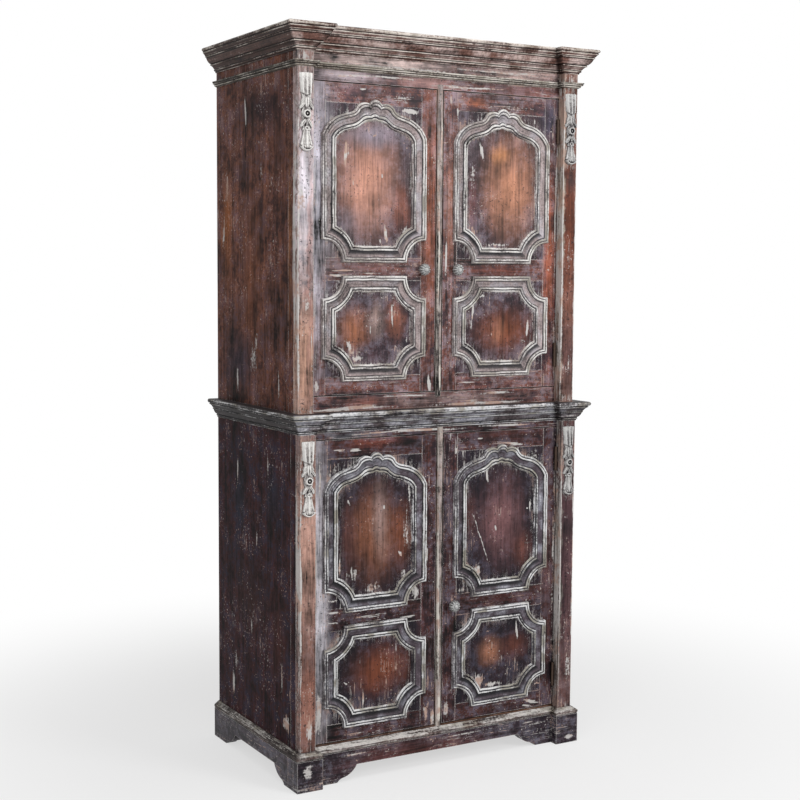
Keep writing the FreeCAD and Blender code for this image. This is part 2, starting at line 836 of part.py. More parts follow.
def write_door(door):
    def tall_moves(inset):
        return crest_moves(inset, door.tall_ring_top - door.tall_ring_bottom)

    outlines = ((low_moves, door.low_ring_bottom), (tall_moves, door.tall_ring_bottom))
    write(door.name + "_stiles", *[stile(door, way) for way in (-1, 1)])
    write(door.name + "_rails", *[door_rail(door, index) for index in range(3)])
    write(door.name + "_panels", *[panel(door, index) for index in range(2)])
    write(door.name + "_mouldings", *[panel_moulding(door, *outline) for outline in outlines])
    write(door.name + "_hinge_leaves", *[on_side(door_leaf(door.stage, level), door.side)
                                         for level in hinge_levels(door.stage)])


# Hinges, drawn for the right-hand side

def hinge_levels(stage):
    """Middles of the hinges of one door."""
    return (stage.door_bottom + hinge_end_distance, stage.door_top - hinge_end_distance)


def knuckle(stage, bottom, top):
    return Part.makeCylinder(knuckle_radius, top - bottom,
                             vec(hinge_axis_x, stage.hinge_y, bottom))


def leaf_plates(stage, level, ends, neck_bottom, neck_top):
    """A leaf as long as the hinge, and its neck that runs forward to a knuckle."""
    return [block(*ends, stage.face_y, stage.face_y + leaf_width,
                  level - hinge_length / 2, level + hinge_length / 2),
            block(*ends, stage.hinge_y, stage.face_y, neck_bottom, neck_top)]


def fixed_leaf_plates(stage, level):
    """The leaf let into the post, with its neck to the lower knuckle."""
    inner = hinge_axis_x + knuckle_radius - leaf_overlap
    return leaf_plates(stage, level, (inner, inner + leaf_thickness),
                       level - hinge_length / 2, level - knuckle_gap / 2)


def door_leaf_plates(stage, level):
    """The leaf let into the door's edge, with its neck to the upper knuckle."""
    outer = hinge_axis_x + knuckle_radius - leaf_overlap - leaf_gap
    return leaf_plates(stage, level, (outer - leaf_thickness, outer),
                       level + knuckle_gap / 2, level + hinge_length / 2)


def fixed_leaf(stage, level):
    """Leaf on the post with the lower knuckle and the pin that stands in it."""
    bottom = level - hinge_length / 2
    pin = Part.makeCylinder(pin_radius, hinge_length - pin_cover - knuckle_gap,
                            vec(hinge_axis_x, stage.hinge_y, bottom))
    leaf, neck = fixed_leaf_plates(stage, level)
    barrel = knuckle(stage, bottom, level - knuckle_gap / 2)
    return leaf.fuse([neck, barrel, pin]).removeSplitter()


def door_leaf(stage, level):
    """Leaf on the door with the upper knuckle, which drops over the pin."""
    top = level + hinge_length / 2
    bore = Part.makeCylinder(pin_radius + pin_clearance, hinge_length / 2 - pin_cover,
                             vec(hinge_axis_x, stage.hinge_y, level))
    leaf, neck = door_leaf_plates(stage, level)
    barrel = knuckle(stage, level + knuckle_gap / 2, top)
    return leaf.fuse([neck, barrel]).removeSplitter().cut(bore)


def write_fixed_leaves(stage):
    write(stage.name + "_fixed_hinge_leaves",
          *[on_side(fixed_leaf(stage, level), side)
            for _, side in SIDES for level in hinge_levels(stage)])


# Knobs

def knob(door, inset):
    """A round pull with a fluted head on a short stem."""
    x = door.side * (centre_gap / 2 + inset)
    z = (door.low_ring_top + door.tall_ring_bottom) / 2
    y = door.stage.face_y
    stem = Part.makeCylinder(knob_stem_radius, knob_stem_length, vec(x, y, z), vec(0, -1, 0))
    rings = []
    for depth, girth in knob_girth_shares:
        corners = []
        for index in range(2 * knob_flute_count):
            radius = knob_radius * girth * (knob_flute_share if index % 2 else 1)
            u, w = around((x, z), radius, math.pi * index / knob_flute_count)
            corners.append(vec(u, y - knob_stem_length - depth * knob_depth, w))
        rings.append(corners)
    return skin(rings).fuse(stem).removeSplitter()


def main():
    os.makedirs("parts", exist_ok=True)
    write_plinth()
    write_case()
    write_mouldings()
    for stage in (lower, upper):
        write_fixed_leaves(stage)
        for side_name, side in SIDES:
            door = Door(stage, side_name, side)
            write_door(door)
            if stage is upper:
                write(door.name + "_knob", knob(door, upper_knob_inset))
            elif side > 0:
                write(door.name + "_knob", knob(door, lower_knob_inset))


main()
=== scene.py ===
import cmath
import math

import bmesh
import bpy
import numpy as np
from mathutils import Matrix, Vector, noise


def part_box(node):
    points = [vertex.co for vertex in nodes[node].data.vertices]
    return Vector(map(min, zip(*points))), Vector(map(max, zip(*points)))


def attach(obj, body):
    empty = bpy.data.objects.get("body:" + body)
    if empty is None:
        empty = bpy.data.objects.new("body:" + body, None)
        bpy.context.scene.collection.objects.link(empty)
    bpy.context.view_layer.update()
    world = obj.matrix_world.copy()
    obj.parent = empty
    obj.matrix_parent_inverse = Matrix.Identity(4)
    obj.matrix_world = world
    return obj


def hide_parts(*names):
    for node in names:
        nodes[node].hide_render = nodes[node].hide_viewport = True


# Trastero: the looks of the two-stage cupboard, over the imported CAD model.
# Metres in Blender; the outlines and the relief below are drawn in millimetres.

MM = 0.001

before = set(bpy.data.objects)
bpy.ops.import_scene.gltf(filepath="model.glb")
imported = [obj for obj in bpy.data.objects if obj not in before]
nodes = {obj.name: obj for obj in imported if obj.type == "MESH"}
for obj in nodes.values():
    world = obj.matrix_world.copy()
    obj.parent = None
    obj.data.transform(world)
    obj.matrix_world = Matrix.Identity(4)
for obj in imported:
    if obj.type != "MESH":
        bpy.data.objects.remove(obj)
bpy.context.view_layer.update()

STAGES = ("upper", "lower")
SIDES = (("left", -1), ("right", 1))


def new_object(name, data):
    """An object in the scene."""
    made = bpy.data.objects.new(name, data)
    bpy.context.scene.collection.objects.link(made)
    return made


# Meshes

def make_piece(name, points, faces, material, body, replaced, sharp_angle=35.0,
               layers=None):
    """A smooth mesh piece that rides on a body and stands for a CAD node.

    Layers are named lists with a number for each point, which the material reads.
    """
    mesh = bpy.data.meshes.new(name)
    mesh.from_pydata([tuple(point) for point in points], [], faces)
    mesh.materials.append(material)
    mesh.shade_smooth()
    mesh.set_sharp_from_angle(angle=math.radians(sharp_angle))
    for layer, numbers in (layers or {}).items():
        mesh.attributes.new(layer, "FLOAT", "POINT").data.foreach_set("value", numbers)
    piece = new_object(name, mesh)
    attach(piece, body)
    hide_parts(replaced)
    return piece


def grid_faces(rows, columns, closed_rows=False, closed_columns=False, first=0):
    """Quads between the neighbouring rows and columns of a grid of points."""
    faces = []
    for row in range(rows if closed_rows else rows - 1):
        for column in range(columns if closed_columns else columns - 1):
            next_row = (row + 1) % rows
            next_column = (column + 1) % columns
            faces.append((first + row * columns + column, first + row * columns + next_column,
                          first + next_row * columns + next_column,
                          first + next_row * columns + column))
    return faces


def wobble(point, size, height, seed):
    """A smooth random offset between -height and height."""
    return height * noise.noise(Vector(point) / size + Vector((seed, 2 * seed, 3 * seed)))


# Shaped outlines of the panel mouldings, as complex numbers: across + up * 1j, in millimetres

RING_BAND = 49.0
RING_PROUD = 11.0
LOW_RING_HEIGHT = 309.0
MIDDLE_GAP = 38.0
NOTCH_RADIUS = 60.0
NOTCH_EAR = 6.0
SHOULDER_RADIUS_SHARE = 0.571
SHOULDER_START_ANGLE = 68.0
SHOULDER_END_ANGLE = 15.0
RAMP_SHARE = 0.154
OGEE_RADIUS_SHARE = 0.171
OGEE_OUTER_ANGLE = 70.0
OGEE_INNER_ANGLE = 40.0
LOBE_HALF_SHARE = 0.114
LOBE_RISE_SHARE = 0.047
LOBE_BULGE_SHARE = 0.04
CROWN_RISE_SHARE = 0.074
LOBE_NARROW_SHARE = 0.2
LOBE_FALL_SHARE = 1.02
LOBE_FLATTEN_SHARE = 0.75
OUTLINE_STEP = 6.0
RAIL_TENON = 25.0

# Size and height of their unevenness
RING_DRIFT = (34, 1.1)
RING_LIFT = (17, 0.6)
# How far it changes from the outer edge to the inner one
RING_GIRTH = 30

# Section from the outer edge in: share of the band, share of how far it stands out
RING_SECTION = (
    (0, 0), (0.012, 0.6), (0.03, 0.86), (0.06, 0.97), (0.1, 0.94), (0.13, 0.78), (0.15, 0.7),
    (0.17, 0.8), (0.2, 0.98), (0.24, 1), (0.275, 0.86), (0.295, 0.62), (0.315, 0.5),
    (0.36, 0.46), (0.42, 0.36), (0.5, 0.27), (0.58, 0.22), (0.64, 0.2), (0.675, 0.14),
    (0.7, 0.22), (0.725, 0.5), (0.77, 0.58), (0.81, 0.52), (0.83, 0.28), (0.865, 0.16),
    (0.89, 0.34), (0.93, 0.42), (0.965, 0.3), (1, 0.02))

# A turn of the section, in radians, that counts as fully sharp
SHARP_TURN = 0.9


def ridge_shares(section):
    """How sharply each point of a section stands out: 1 on an arris, -1 in a quirk."""
    shares = []
    for index, point in enumerate(section):
        before = complex(*point) - complex(*section[index - 1])
        after = complex(*section[(index + 1) % len(section)]) - complex(*point)
        shares.append(max(-1.0, min(1.0, cmath.phase(after / before) / SHARP_TURN)))
    return shares


RING_RIDGES = ridge_shares([(share * RING_BAND, -rise * RING_PROUD)
                            for share, rise in RING_SECTION])


def around(centre, radius, angle):
    return centre + cmath.rect(radius, angle)


def low_corner(half, inset):
    """Start, middle and end of the hollow corner at the lower right."""
    centre = complex(half - NOTCH_EAR, NOTCH_EAR)
    radius = NOTCH_RADIUS + inset
    run = math.sqrt(radius ** 2 - (inset - NOTCH_EAR) ** 2)
    return (complex(centre.real - run, inset), around(centre, radius, math.pi * 3 / 4),
            complex(half - inset, NOTCH_EAR + run))


def low_moves(half, inset, height):
    """Right half of the outline with four hollow corners: lines (end) and arcs (middle, end)."""
    start, middle, end = low_corner(half, inset)

    def flipped(point):
        return complex(point.real, height - point.imag)

    return [(1j * inset,), (start,), (middle, end), (flipped(end),),
            (flipped(middle), flipped(start)), (1j * (height - inset),)]


def crest_moves(half, inset, height):
    """Right half of the crested outline, from the bottom up to the crown."""
    start_angle = math.radians(SHOULDER_START_ANGLE)
    end_angle = math.radians(SHOULDER_END_ANGLE)
    radius = SHOULDER_RADIUS_SHARE * half
    ogee_radius = OGEE_RADIUS_SHARE * half
    plain = inset / RING_BAND

    shoulder = complex(half - radius * math.sin(start_angle), -radius * math.cos(start_angle))
    ramp_end = (around(shoulder, radius, math.pi / 2 - end_angle)
                - cmath.rect(RAMP_SHARE * half, -end_angle))
    ogee = around(ramp_end, ogee_radius, math.pi / 2 - end_angle)
    outer_ogee_end = around(ogee, ogee_radius, math.pi * 3 / 2 - math.radians(OGEE_OUTER_ANGLE))
    crown_foot = outer_ogee_end.imag + LOBE_RISE_SHARE * half
    rise = 1j * (height - crown_foot - CROWN_RISE_SHARE * half)

    turn = math.radians(OGEE_OUTER_ANGLE - (OGEE_OUTER_ANGLE - OGEE_INNER_ANGLE) * plain)
    flatness = 1 - LOBE_FLATTEN_SHARE * plain
    ogee_end = around(ogee, ogee_radius + inset, math.pi * 3 / 2 - turn)
    lobe_end = complex(LOBE_HALF_SHARE * half - LOBE_NARROW_SHARE * inset,
                       crown_foot - LOBE_FALL_SHARE * inset)
    lobe_chord = lobe_end - ogee_end
    lobe_middle = ((ogee_end + lobe_end) / 2
                   - 1j * lobe_chord / abs(lobe_chord) * LOBE_BULGE_SHARE * half * flatness)
    crown_rise = CROWN_RISE_SHARE * half * flatness
    crown_radius = (lobe_end.real ** 2 + crown_rise ** 2) / (2 * crown_rise)
    crown = 1j * (lobe_end.imag + crown_rise)
    crown_centre = crown - 1j * crown_radius
    crown_angle = cmath.phase(lobe_end - crown_centre)

    inner_radius = radius - inset
    side_angle = math.acos((half - inset - shoulder.real) / inner_radius)
    half_ogee = math.pi * 3 / 2 - (end_angle + turn) / 2
    corner_start, corner_middle, corner_end = low_corner(half, inset)
    lifted = [
        (around(shoulder, inner_radius, side_angle),),
        (around(shoulder, inner_radius, (side_angle + math.pi / 2 - end_angle) / 2),
         around(shoulder, inner_radius, math.pi / 2 - end_angle)),
        (around(ogee, ogee_radius + inset, math.pi * 3 / 2 - end_angle),),
        (around(ogee, ogee_radius + inset, half_ogee), ogee_end),
        (lobe_middle, lobe_end),
        (around(crown_centre, crown_radius, (crown_angle + math.pi / 2) / 2), crown),
    ]
    return ([(1j * inset,), (corner_start,), (corner_middle, corner_end)]
            + [tuple(point + rise for point in move) for move in lifted])


def arc_turn(start, middle, end):
    """Centre and turning angle of the arc from start through its middle to end."""
    ratio = (end - start) / (middle - start)
    centre = start + (middle - start) * (ratio - abs(ratio) ** 2) / (2j * ratio.imag)
    return centre, 2 * cmath.phase((middle - centre) / (start - centre))


def sample_moves(moves, counts):
    """Points along the moves, the given number on each, with the starting point."""
    points = list(moves[0])
    for move, count in zip(moves[1:], counts):
        start = points[-1]
        if len(move) == 1:
            points += [start + (move[0] - start) * step / count for step in range(1, count + 1)]
        else:
            centre, turn = arc_turn(start, *move)
            points += [centre + (start - centre) * cmath.rect(1, turn * step / count)
                       for step in range(1, count + 1)]
    return points


def move_counts(moves):
    """How many pieces each move is divided into."""
    counts = []
    at = moves[0][0]
    for move in moves[1:]:
        length = abs(move[-1] - at)
        if len(move) == 2:
            centre, turn = arc_turn(at, *move)
            length = abs(at - centre) * abs(turn)
        counts.append(max(3, round(length / OUTLINE_STEP)))
        at = move[-1]
    return counts


def closed_outline(moves, counts):
    """The whole outline, symmetric, from the bottom middle round and back to it."""
    right = sample_moves(moves, counts)
    return right + [complex(-point.real, point.imag) for point in right[-2:0:-1]]


def moulding_ring(moves_at, place, seed):
    """Points of one shaped moulding, and for each its layers.

    Run and share are where the point lies along the moulding and across its band. The moulding
    heads right along the bottom, up the right side, left over the top and down the left side.
    """
    counts = move_counts(moves_at(0))
    points = []
    layers = {"run": [], "share": [], "heading_right": [], "heading_up": []}
    for share, rise in RING_SECTION:
        outline = closed_outline(moves_at(share * RING_BAND), counts)
        run = 0.0
        for index, point in enumerate(outline):
            ahead = outline[(index + 1) % len(outline)] - outline[index - 1]
            run += abs(point - outline[index - 1]) if index else 0.0
            where = (point.real, point.imag, RING_GIRTH * share)
            drift = complex(wobble(where, *RING_DRIFT, seed), wobble(where, *RING_DRIFT, seed + 7))
            lift = wobble(where, *RING_LIFT, seed + 3) if 0 < rise < 0.99 else 0.0
            points.append(place(point + drift * (share > 0), max(0.0, rise * RING_PROUD + lift)))
            layers["run"].append(run * MM)
            layers["share"].append(share)
            layers["heading_right"].append(ahead.real / abs(ahead))
            layers["heading_up"].append(ahead.imag / abs(ahead))
    return points, layers


def door_mouldings(door, material):
    """Both shaped mouldings of a door as one finely cut piece."""
    node = door + "_mouldings"
    low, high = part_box(node)
    middle_x = (low.x + high.x) / 2
    half = (high.x - low.x) / 2 / MM
    tall_bottom = low.z + (LOW_RING_HEIGHT + MIDDLE_GAP) * MM
    tall_height = (high.z - tall_bottom) / MM

    def place_from(bottom):
        return lambda point, proud: (middle_x + point.real * MM, high.y - proud * MM,
                                     bottom + point.imag * MM)

    points, faces, layers = [], [], {}
    for moves, height, bottom in ((low_moves, LOW_RING_HEIGHT, low.z),
                                  (crest_moves, tall_height, tall_bottom)):
        ring_points, ring_layers = moulding_ring(
            lambda inset: moves(half, inset, height), place_from(bottom), middle_x + bottom)
        columns = len(ring_points) // len(RING_SECTION)
        faces += grid_faces(len(RING_SECTION), columns, closed_columns=True, first=len(points))
        points += ring_points
        for layer, numbers in ring_layers.items():
            layers.setdefault(layer, []).extend(numbers)
    make_piece(door + "_carved_mouldings", points, faces, material, door, node,
               sharp_angle=50, layers=layers)


# Mouldings that wrap the case. Sections from the top of the wall, round the outside, to its foot:
# share of the projection, share of the height

CORNICE_SECTION = (
    (0, 0), (0.94, 0), (0.98, 0.02), (1, 0.06), (0.985, 0.1), (0.945, 0.125), (0.905, 0.13),
    (0.905, 0.16), (0.93, 0.17), (0.925, 0.195), (0.86, 0.225), (0.81, 0.265), (0.785, 0.305),
    (0.75, 0.31), (0.75, 0.335), (0.775, 0.345), (0.765, 0.37), (0.7, 0.38), (0.675, 0.44),
    (0.62, 0.51), (0.54, 0.575), (0.46, 0.62), (0.4, 0.63), (0.4, 0.66), (0.43, 0.67),
    (0.42, 0.7), (0.35, 0.71), (0.28, 0.745), (0.22, 0.79), (0.18, 0.84), (0.15, 0.845),
    (0.15, 0.87), (0.19, 0.88), (0.18, 0.905), (0.12, 0.93), (0.08, 0.95), (0.08, 1), (0, 1))
NECKING_SECTION = (
    (0, 0), (0.93, 0), (0.99, 0.04), (1, 0.12), (0.97, 0.2), (0.9, 0.24), (0.82, 0.25),
    (0.82, 0.31), (0.89, 0.36), (0.87, 0.46), (0.76, 0.52), (0.62, 0.54), (0.5, 0.55),
    (0.5, 0.62), (0.57, 0.67), (0.54, 0.78), (0.42, 0.86), (0.3, 0.9), (0.2, 0.92), (0.2, 1),
    (0, 1))
WAIST_SECTION = (
    (0, 0), (0.9, 0), (0.96, 0.02), (0.995, 0.06), (1, 0.1), (0.985, 0.15), (0.94, 0.19),
    (0.87, 0.205), (0.8, 0.21), (0.8, 0.235), (0.85, 0.245), (0.84, 0.275), (0.74, 0.31),
    (0.63, 0.365), (0.55, 0.43), (0.5, 0.49), (0.47, 0.495), (0.47, 0.52), (0.52, 0.53),
    (0.51, 0.56), (0.43, 0.575), (0.41, 0.61), (0.37, 0.68), (0.3, 0.75), (0.2, 0.81),
    (0.12, 0.825), (0.12, 0.855), (0.165, 0.87), (0.155, 0.905), (0.09, 0.92), (0.08, 0.95),
    (0.08, 1), (0, 1))
BASE_SECTION = (
    (0, 0), (0.14, 0), (0.22, 0.03), (0.3, 0.11), (0.3, 0.17), (0.36, 0.13), (0.44, 0.16),
    (0.52, 0.25), (0.52, 0.31), (0.59, 0.27), (0.68, 0.3), (0.76, 0.39), (0.76, 0.45),
    (0.83, 0.41), (0.92, 0.45), (0.98, 0.55), (1, 0.68), (0.985, 0.8), (0.93, 0.9), (0.86, 0.92),
    (0.86, 1), (0, 1))
# Length of the pieces that they are divided into, in metres
RUN_STEP = 0.012
# Size and height of their wear, in millimetres: broad and fine
RUN_WEAR = ((26, 0.9), (7, 0.5))
# How far that wear changes from the top of a section to its foot
RUN_GIRTH = 60
# Node, stage, section, two colours of the front, colours of the side, of the quirks (dark patina
# and painted shade) and of the chalk, then how much chalk there is and how strong it is
RUNS = (
    ("cornice", "upper", CORNICE_SECTION, ("#75544b", "#b29e99"), "#4b3833", "#15100f", "#dfd9d0",
     -0.04, 0.85),
    ("necking_moulding", "upper", NECKING_SECTION, ("#716358", "#968c84"), "#4b443d", "#1b1719",
     "#dcd7ce", -0.04, 0.8),
    ("waist_moulding", "lower", WAIST_SECTION, ("#574e50", "#8e8e96"), "#2e2829", "#0f0e12",
     "#e0e0e0", -0.03, 0.9),
    ("base_moulding", "lower", BASE_SECTION, ("#5f4c48", "#888281"), "#423835", "#100f13",
     "#dbd7d2", -0.03, 0.85))


def wrapped_run(node, stage, section, material):
    """A moulding round the case, mitred at the corners and where it breaks over the pilasters."""
    low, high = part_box(node)
    case_low, case_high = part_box(stage + "_pilasters")
    bead_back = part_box(stage + "_centre_bead")[1].y
    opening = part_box(stage + "_top_rail")[1].x - RAIL_TENON * MM
    projection = high.x - case_high.x
    height = high.z - low.z
    half = case_high.x
    corners = [(-half, high.y, -1, 0), (-half, case_low.y, -1, -1), (-opening, case_low.y, 1, -1),
               (-opening, bead_back, 1, -1), (opening, bead_back, -1, -1),
               (opening, case_low.y, -1, -1), (half, case_low.y, 1, -1), (half, high.y, 1, 0)]
    plan = []
    for corner, following in zip(corners, corners[1:] + corners[-1:]):
        length = math.hypot(following[0] - corner[0], following[1] - corner[1])
        steps = max(1, round(length / RUN_STEP))
        on_side = abs(following[0] - corner[0]) < abs(following[1] - corner[1])
        for step in range(steps):
            share = step / steps
            blended = [a + (b - a) * share for a, b in zip(corner, following)]
            plan.append((*blended, float(on_side)))
    points = []
    layers = {"ridge": [], "on_side": []}
    ridges = ridge_shares(section)
    for (out, down), ridge in zip(section, ridges):
        for x, y, out_x, out_y, on_side in plan:
            reach = out * projection
            where = (x / MM, y / MM, down * RUN_GIRTH)
            worn = sum(abs(wobble(where, *wear, seed))
                       for wear, seed in zip(RUN_WEAR, (height, projection)))
            if out > 0:
                reach -= worn * (0.4 + max(0.0, ridge)) * MM
            points.append((x + out_x * max(0.0, reach), y + out_y * max(0.0, reach),
                           high.z - down * height))
            layers["ridge"].append(ridge)
            layers["on_side"].append(on_side)
    rows, columns = len(section), len(plan)
    faces = grid_faces(rows, columns, closed_rows=True)
    faces += [tuple(row * columns for row in range(rows)),
              tuple(row * columns + columns - 1 for row in reversed(range(rows)))]
    make_piece(node + "_run", points, faces, material, "carcase", node,
               sharp_angle=40, layers=layers)


# Carved drops

CARVING_WIDTH = 44.0
CARVING_LENGTH = 218.0
CARVING_STEP = 0.9
CARVING_DEPTH = 15.0
# Across, down, half width, half length, lean and height, in millimetres and degrees. Each leaf
# has a twin on the other side.
LEAVES = ((0, 82, 9, 20, 0, 11.5), (11, 78, 5, 14, -16, 8.5), (13, 91, 5, 14, -38, 11),
          (9, 138, 6, 17, -33, 10.5), (0, 141, 4, 13, 0, 12))
# Top, bottom, half widths there, flutes, heights there
HUSK = (0, 62, 21, 17, 3, 7.5, 12.5)
BELL = (150, 208, 6.5, 20, 2, 8, 12)
# Across, down, radius, band, height
ROSETTE = (0, 114, 9, 3.6, 13)
COLLAR = (0, 154, 4.5, 3, 9.5)
BELL_LIP = (0, 196, 19, 3.2, 13)
BELL_LIP_TOP = 204
# Across, down, half width, half length
BOSS = (0, 114, 4.8, 4.8)
BOSS_HEIGHT = 12.5
MOUTH = (0, 207, 19.5, 7.5)
MOUTH_HEIGHT = 14.0
GROUND_HALF_WIDTH = 12.5
GROUND_WAVE = 2.5
GROUND_WAVE_RADIUS = 9
GROUND_FOOT = 160
GROUND_HEIGHT = 4.0
# Size and height of the wear, in millimetres
FINE_WEAR = (4, 0.5)
BROAD_WEAR = (11, 0.7)


def dome(across, down, x, z, half_width, half_length, lean=0.0):
    """Height share of a rounded form with an oval outline, 1 in its middle and 0 outside."""
    c, s = math.cos(math.radians(lean)), math.sin(math.radians(lean))
    u = ((across - x) * c + (down - z) * s) / half_width
    v = ((down - z) * c - (across - x) * s) / half_length
    return np.sqrt(np.clip(1 - u ** 2 - v ** 2, 0, 1)), u


def leaf(across, down, x, z, half_width, half_length, lean, height):
    """A leaf with a vein down its middle."""
    share, u = dome(across, down, x, z, half_width, half_length, lean)
    return height * share * (0.72 + 0.28 * np.clip(np.abs(u) * 3, 0, 1))


def ring(across, down, x, z, radius, band, height):
    """A round hoop."""
    away = np.hypot(across - x, down - z)
    return height * np.sqrt(np.clip(1 - ((away - radius) / band) ** 2, 0, 1))


def fluted(across, down, top, bottom, half_top, half_bottom, flutes, low, high):
    """A body with hollow flutes that widens or narrows down its length."""
    along = np.clip((down - top) / (bottom - top), 0, 1)
    half = half_top + (half_bottom - half_top) * along
    u = across / half
    arch = np.sqrt(np.clip(1 - u ** 2, 0, 1))
    ribs = 0.74 + 0.26 * np.cos(u * math.pi * flutes)
    droop = (bottom - top) * 0.12 * u ** 2
    inside = (np.abs(u) < 1) & (down > top) & (down < bottom - droop)
    return np.where(inside, (low + (high - low) * along) * arch ** 0.6 * ribs, 0)


def relief(across, down):
    """Height of the drop over the pilaster: husk, spreading leaves, rosette, leaves and bell."""
    half_width = GROUND_HALF_WIDTH + GROUND_WAVE * np.cos(down / GROUND_WAVE_RADIUS)
    ground = np.where((np.abs(across) < half_width) & (down < GROUND_FOOT), GROUND_HEIGHT, 0)
    boss = BOSS_HEIGHT * dome(across, down, *BOSS)[0]
    mouth = MOUTH_HEIGHT * dome(across, down, *MOUTH)[0] * (0.86 + 0.14 * np.cos(across * 0.9))
    forms = [ground, boss, mouth, ring(across, down, *BELL_LIP) * (down > BELL_LIP_TOP)]
    forms += [ring(across, down, *hoop) for hoop in (ROSETTE, COLLAR)]
    forms += [fluted(across, down, *body) for body in (HUSK, BELL)]
    forms += [leaf(across, down, side * x, z, wide, long, side * lean, height)
              for side in (-1, 1) for x, z, wide, long, lean, height in LEAVES]
    return np.maximum.reduce(forms)


def carved_drop(stage, side, side_sign, material):
    """One drop, as a relief cut on a fine grid."""
    node = stage + "_carvings"
    low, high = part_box(node)
    middle_x = side_sign * (high.x - CARVING_WIDTH * MM / 2)
    columns = round(CARVING_WIDTH / CARVING_STEP)
    rows = round(CARVING_LENGTH / CARVING_STEP)
    across, down = np.meshgrid(np.linspace(-CARVING_WIDTH / 2, CARVING_WIDTH / 2, columns),
                               np.linspace(0, CARVING_LENGTH, rows))
    height = relief(across, down)
    points = []
    for u, v, h in zip(across.ravel(), down.ravel(), height.ravel()):
        rough = (wobble((u, v, 0), *FINE_WEAR, side_sign + low.z)
                 + wobble((u, v, 5), *BROAD_WEAR, low.z))
        points.append((middle_x + u * MM,
                       high.y - min(CARVING_DEPTH, max(0.0, h + rough * (h > 1))) * MM,
                       high.z - v * MM))
    kept = height.ravel() > 0
    faces = [face for face in grid_faces(rows, columns) if any(kept[corner] for corner in face)]
    piece = make_piece(f"{stage}_{side}_carved_drop", points, faces, material, "carcase",
                       node, sharp_angle=60)
    loose = bmesh.new()
    loose.from_mesh(piece.data)
    bmesh.ops.delete(loose, geom=[v for v in loose.verts if not v.link_faces], context="VERTS")
    loose.to_mesh(piece.data)
    loose.free()


# Knobs

KNOB_FLUTES = 12
KNOB_SEGMENTS = 96
# Size of the wear against the knob, and its height in millimetres
KNOB_WEAR = (0.7, 0.25)
# From the door outwards: distance, radius, depth of the flutes, all in millimetres
KNOB_PROFILE = (
    (0, 9.5, 0), (1, 9.8, 0), (1.8, 8.4, 0), (4, 7.6, 0), (6.5, 8.2, 0), (8, 11, 0.2),
    (9, 15, 1.2), (11, 17.2, 2.4), (14, 18, 3.2), (18, 18, 3.6), (22, 17, 3.6), (25, 14.4, 3.2),
    (26.8, 11.6, 2.4), (27.6, 9.4, 1.2), (26.8, 8, 0), (27.2, 7, 0), (28.8, 5.6, 0),
    (29.8, 3.4, 0), (30, 0.2, 0))


def door_knob(door, material):
    """A turned pull with a fluted head and a small button."""
    node = door + "_knob"
    low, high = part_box(node)
    centre = (low + high) / 2
    points = []
    for out, radius, flute in KNOB_PROFILE:
        for segment in range(KNOB_SEGMENTS):
            angle = 2 * math.pi * segment / KNOB_SEGMENTS
            worn = wobble((out / 6, math.cos(angle), math.sin(angle)), *KNOB_WEAR, centre.z)
            reach = radius - flute * (0.5 - 0.5 * math.cos(KNOB_FLUTES * angle)) - abs(worn)
            points.append((centre.x + reach * math.cos(angle) * MM, high.y - out * MM,
                           centre.z + reach * math.sin(angle) * MM))
    faces = grid_faces(len(KNOB_PROFILE), KNOB_SEGMENTS, closed_columns=True)
    make_piece(door + "_fluted_knob", points, faces, material, door, node)


# Materials

ALONG_X = (0.06, 1.0, 1.0)
ALONG_Z = (1.0, 1.0, 0.06)
ALONG_RUN = (0.05, 0.05, 1.0)
# Stretch of an oval across the way that it ignores
FLAT = 1000.0

# In metres: how far hollows reach, the radius of worn edges and the depth of the fine relief
WOOD_HOLLOWS = 0.026
MOULDING_HOLLOWS = 0.012
CARVING_HOLLOWS = 0.014
METAL_HOLLOWS = 0.006
WORN_EDGE_RADIUS = 0.003
WOOD_RELIEF = 0.0006
MOULDING_RELIEF = 0.0005
METAL_RELIEF = 0.0003

# Below, scales of noise are per metre, and levels and weights were set on the photograph


def srgb(code):
    """Linear colour of a #rrggbb code."""
    channels = [int(code[at:at + 2], 16) / 255 for at in (1, 3, 5)]
    return [c / 12.92 if c <= 0.04045 else ((c + 0.055) / 1.055) ** 2.4 for c in channels] + [1]


class Nodes:
    """The shader nodes of a material or of the world."""

    def __init__(self, owner):
        owner.use_nodes = True
        self.tree = owner.node_tree
        self.tree.nodes.clear()

    def add(self, kind, inputs=(), **settings):
        """A node with its settings and its inputs, which are sockets or values."""
        node = self.tree.nodes.new("ShaderNode" + kind)
        for key, value in settings.items():
            setattr(node, key, value)
        for socket, value in dict(inputs).items():
            if isinstance(value, bpy.types.NodeSocket):
                self.tree.links.new(value, node.inputs[socket])
            else:
                node.inputs[socket].default_value = value
        return node

    def math(self, operation, first, second=0.0):
        return self.add("Math", {0: first, 1: second}, operation=operation).outputs[0]

    def times(self, first, second):
        return self.math("MULTIPLY", first, second)

    def highest(self, first, second):
        return self.math("MAXIMUM", first, second)

    def backdrop_rays(self):
        """1 for rays that show the backdrop as it is: seen, mirrored or through glass."""
        rays = self.add("LightPath").outputs
        shown = self.highest(rays["Is Camera Ray"], rays["Is Glossy Ray"])
        return self.highest(shown, rays["Is Transmission Ray"])


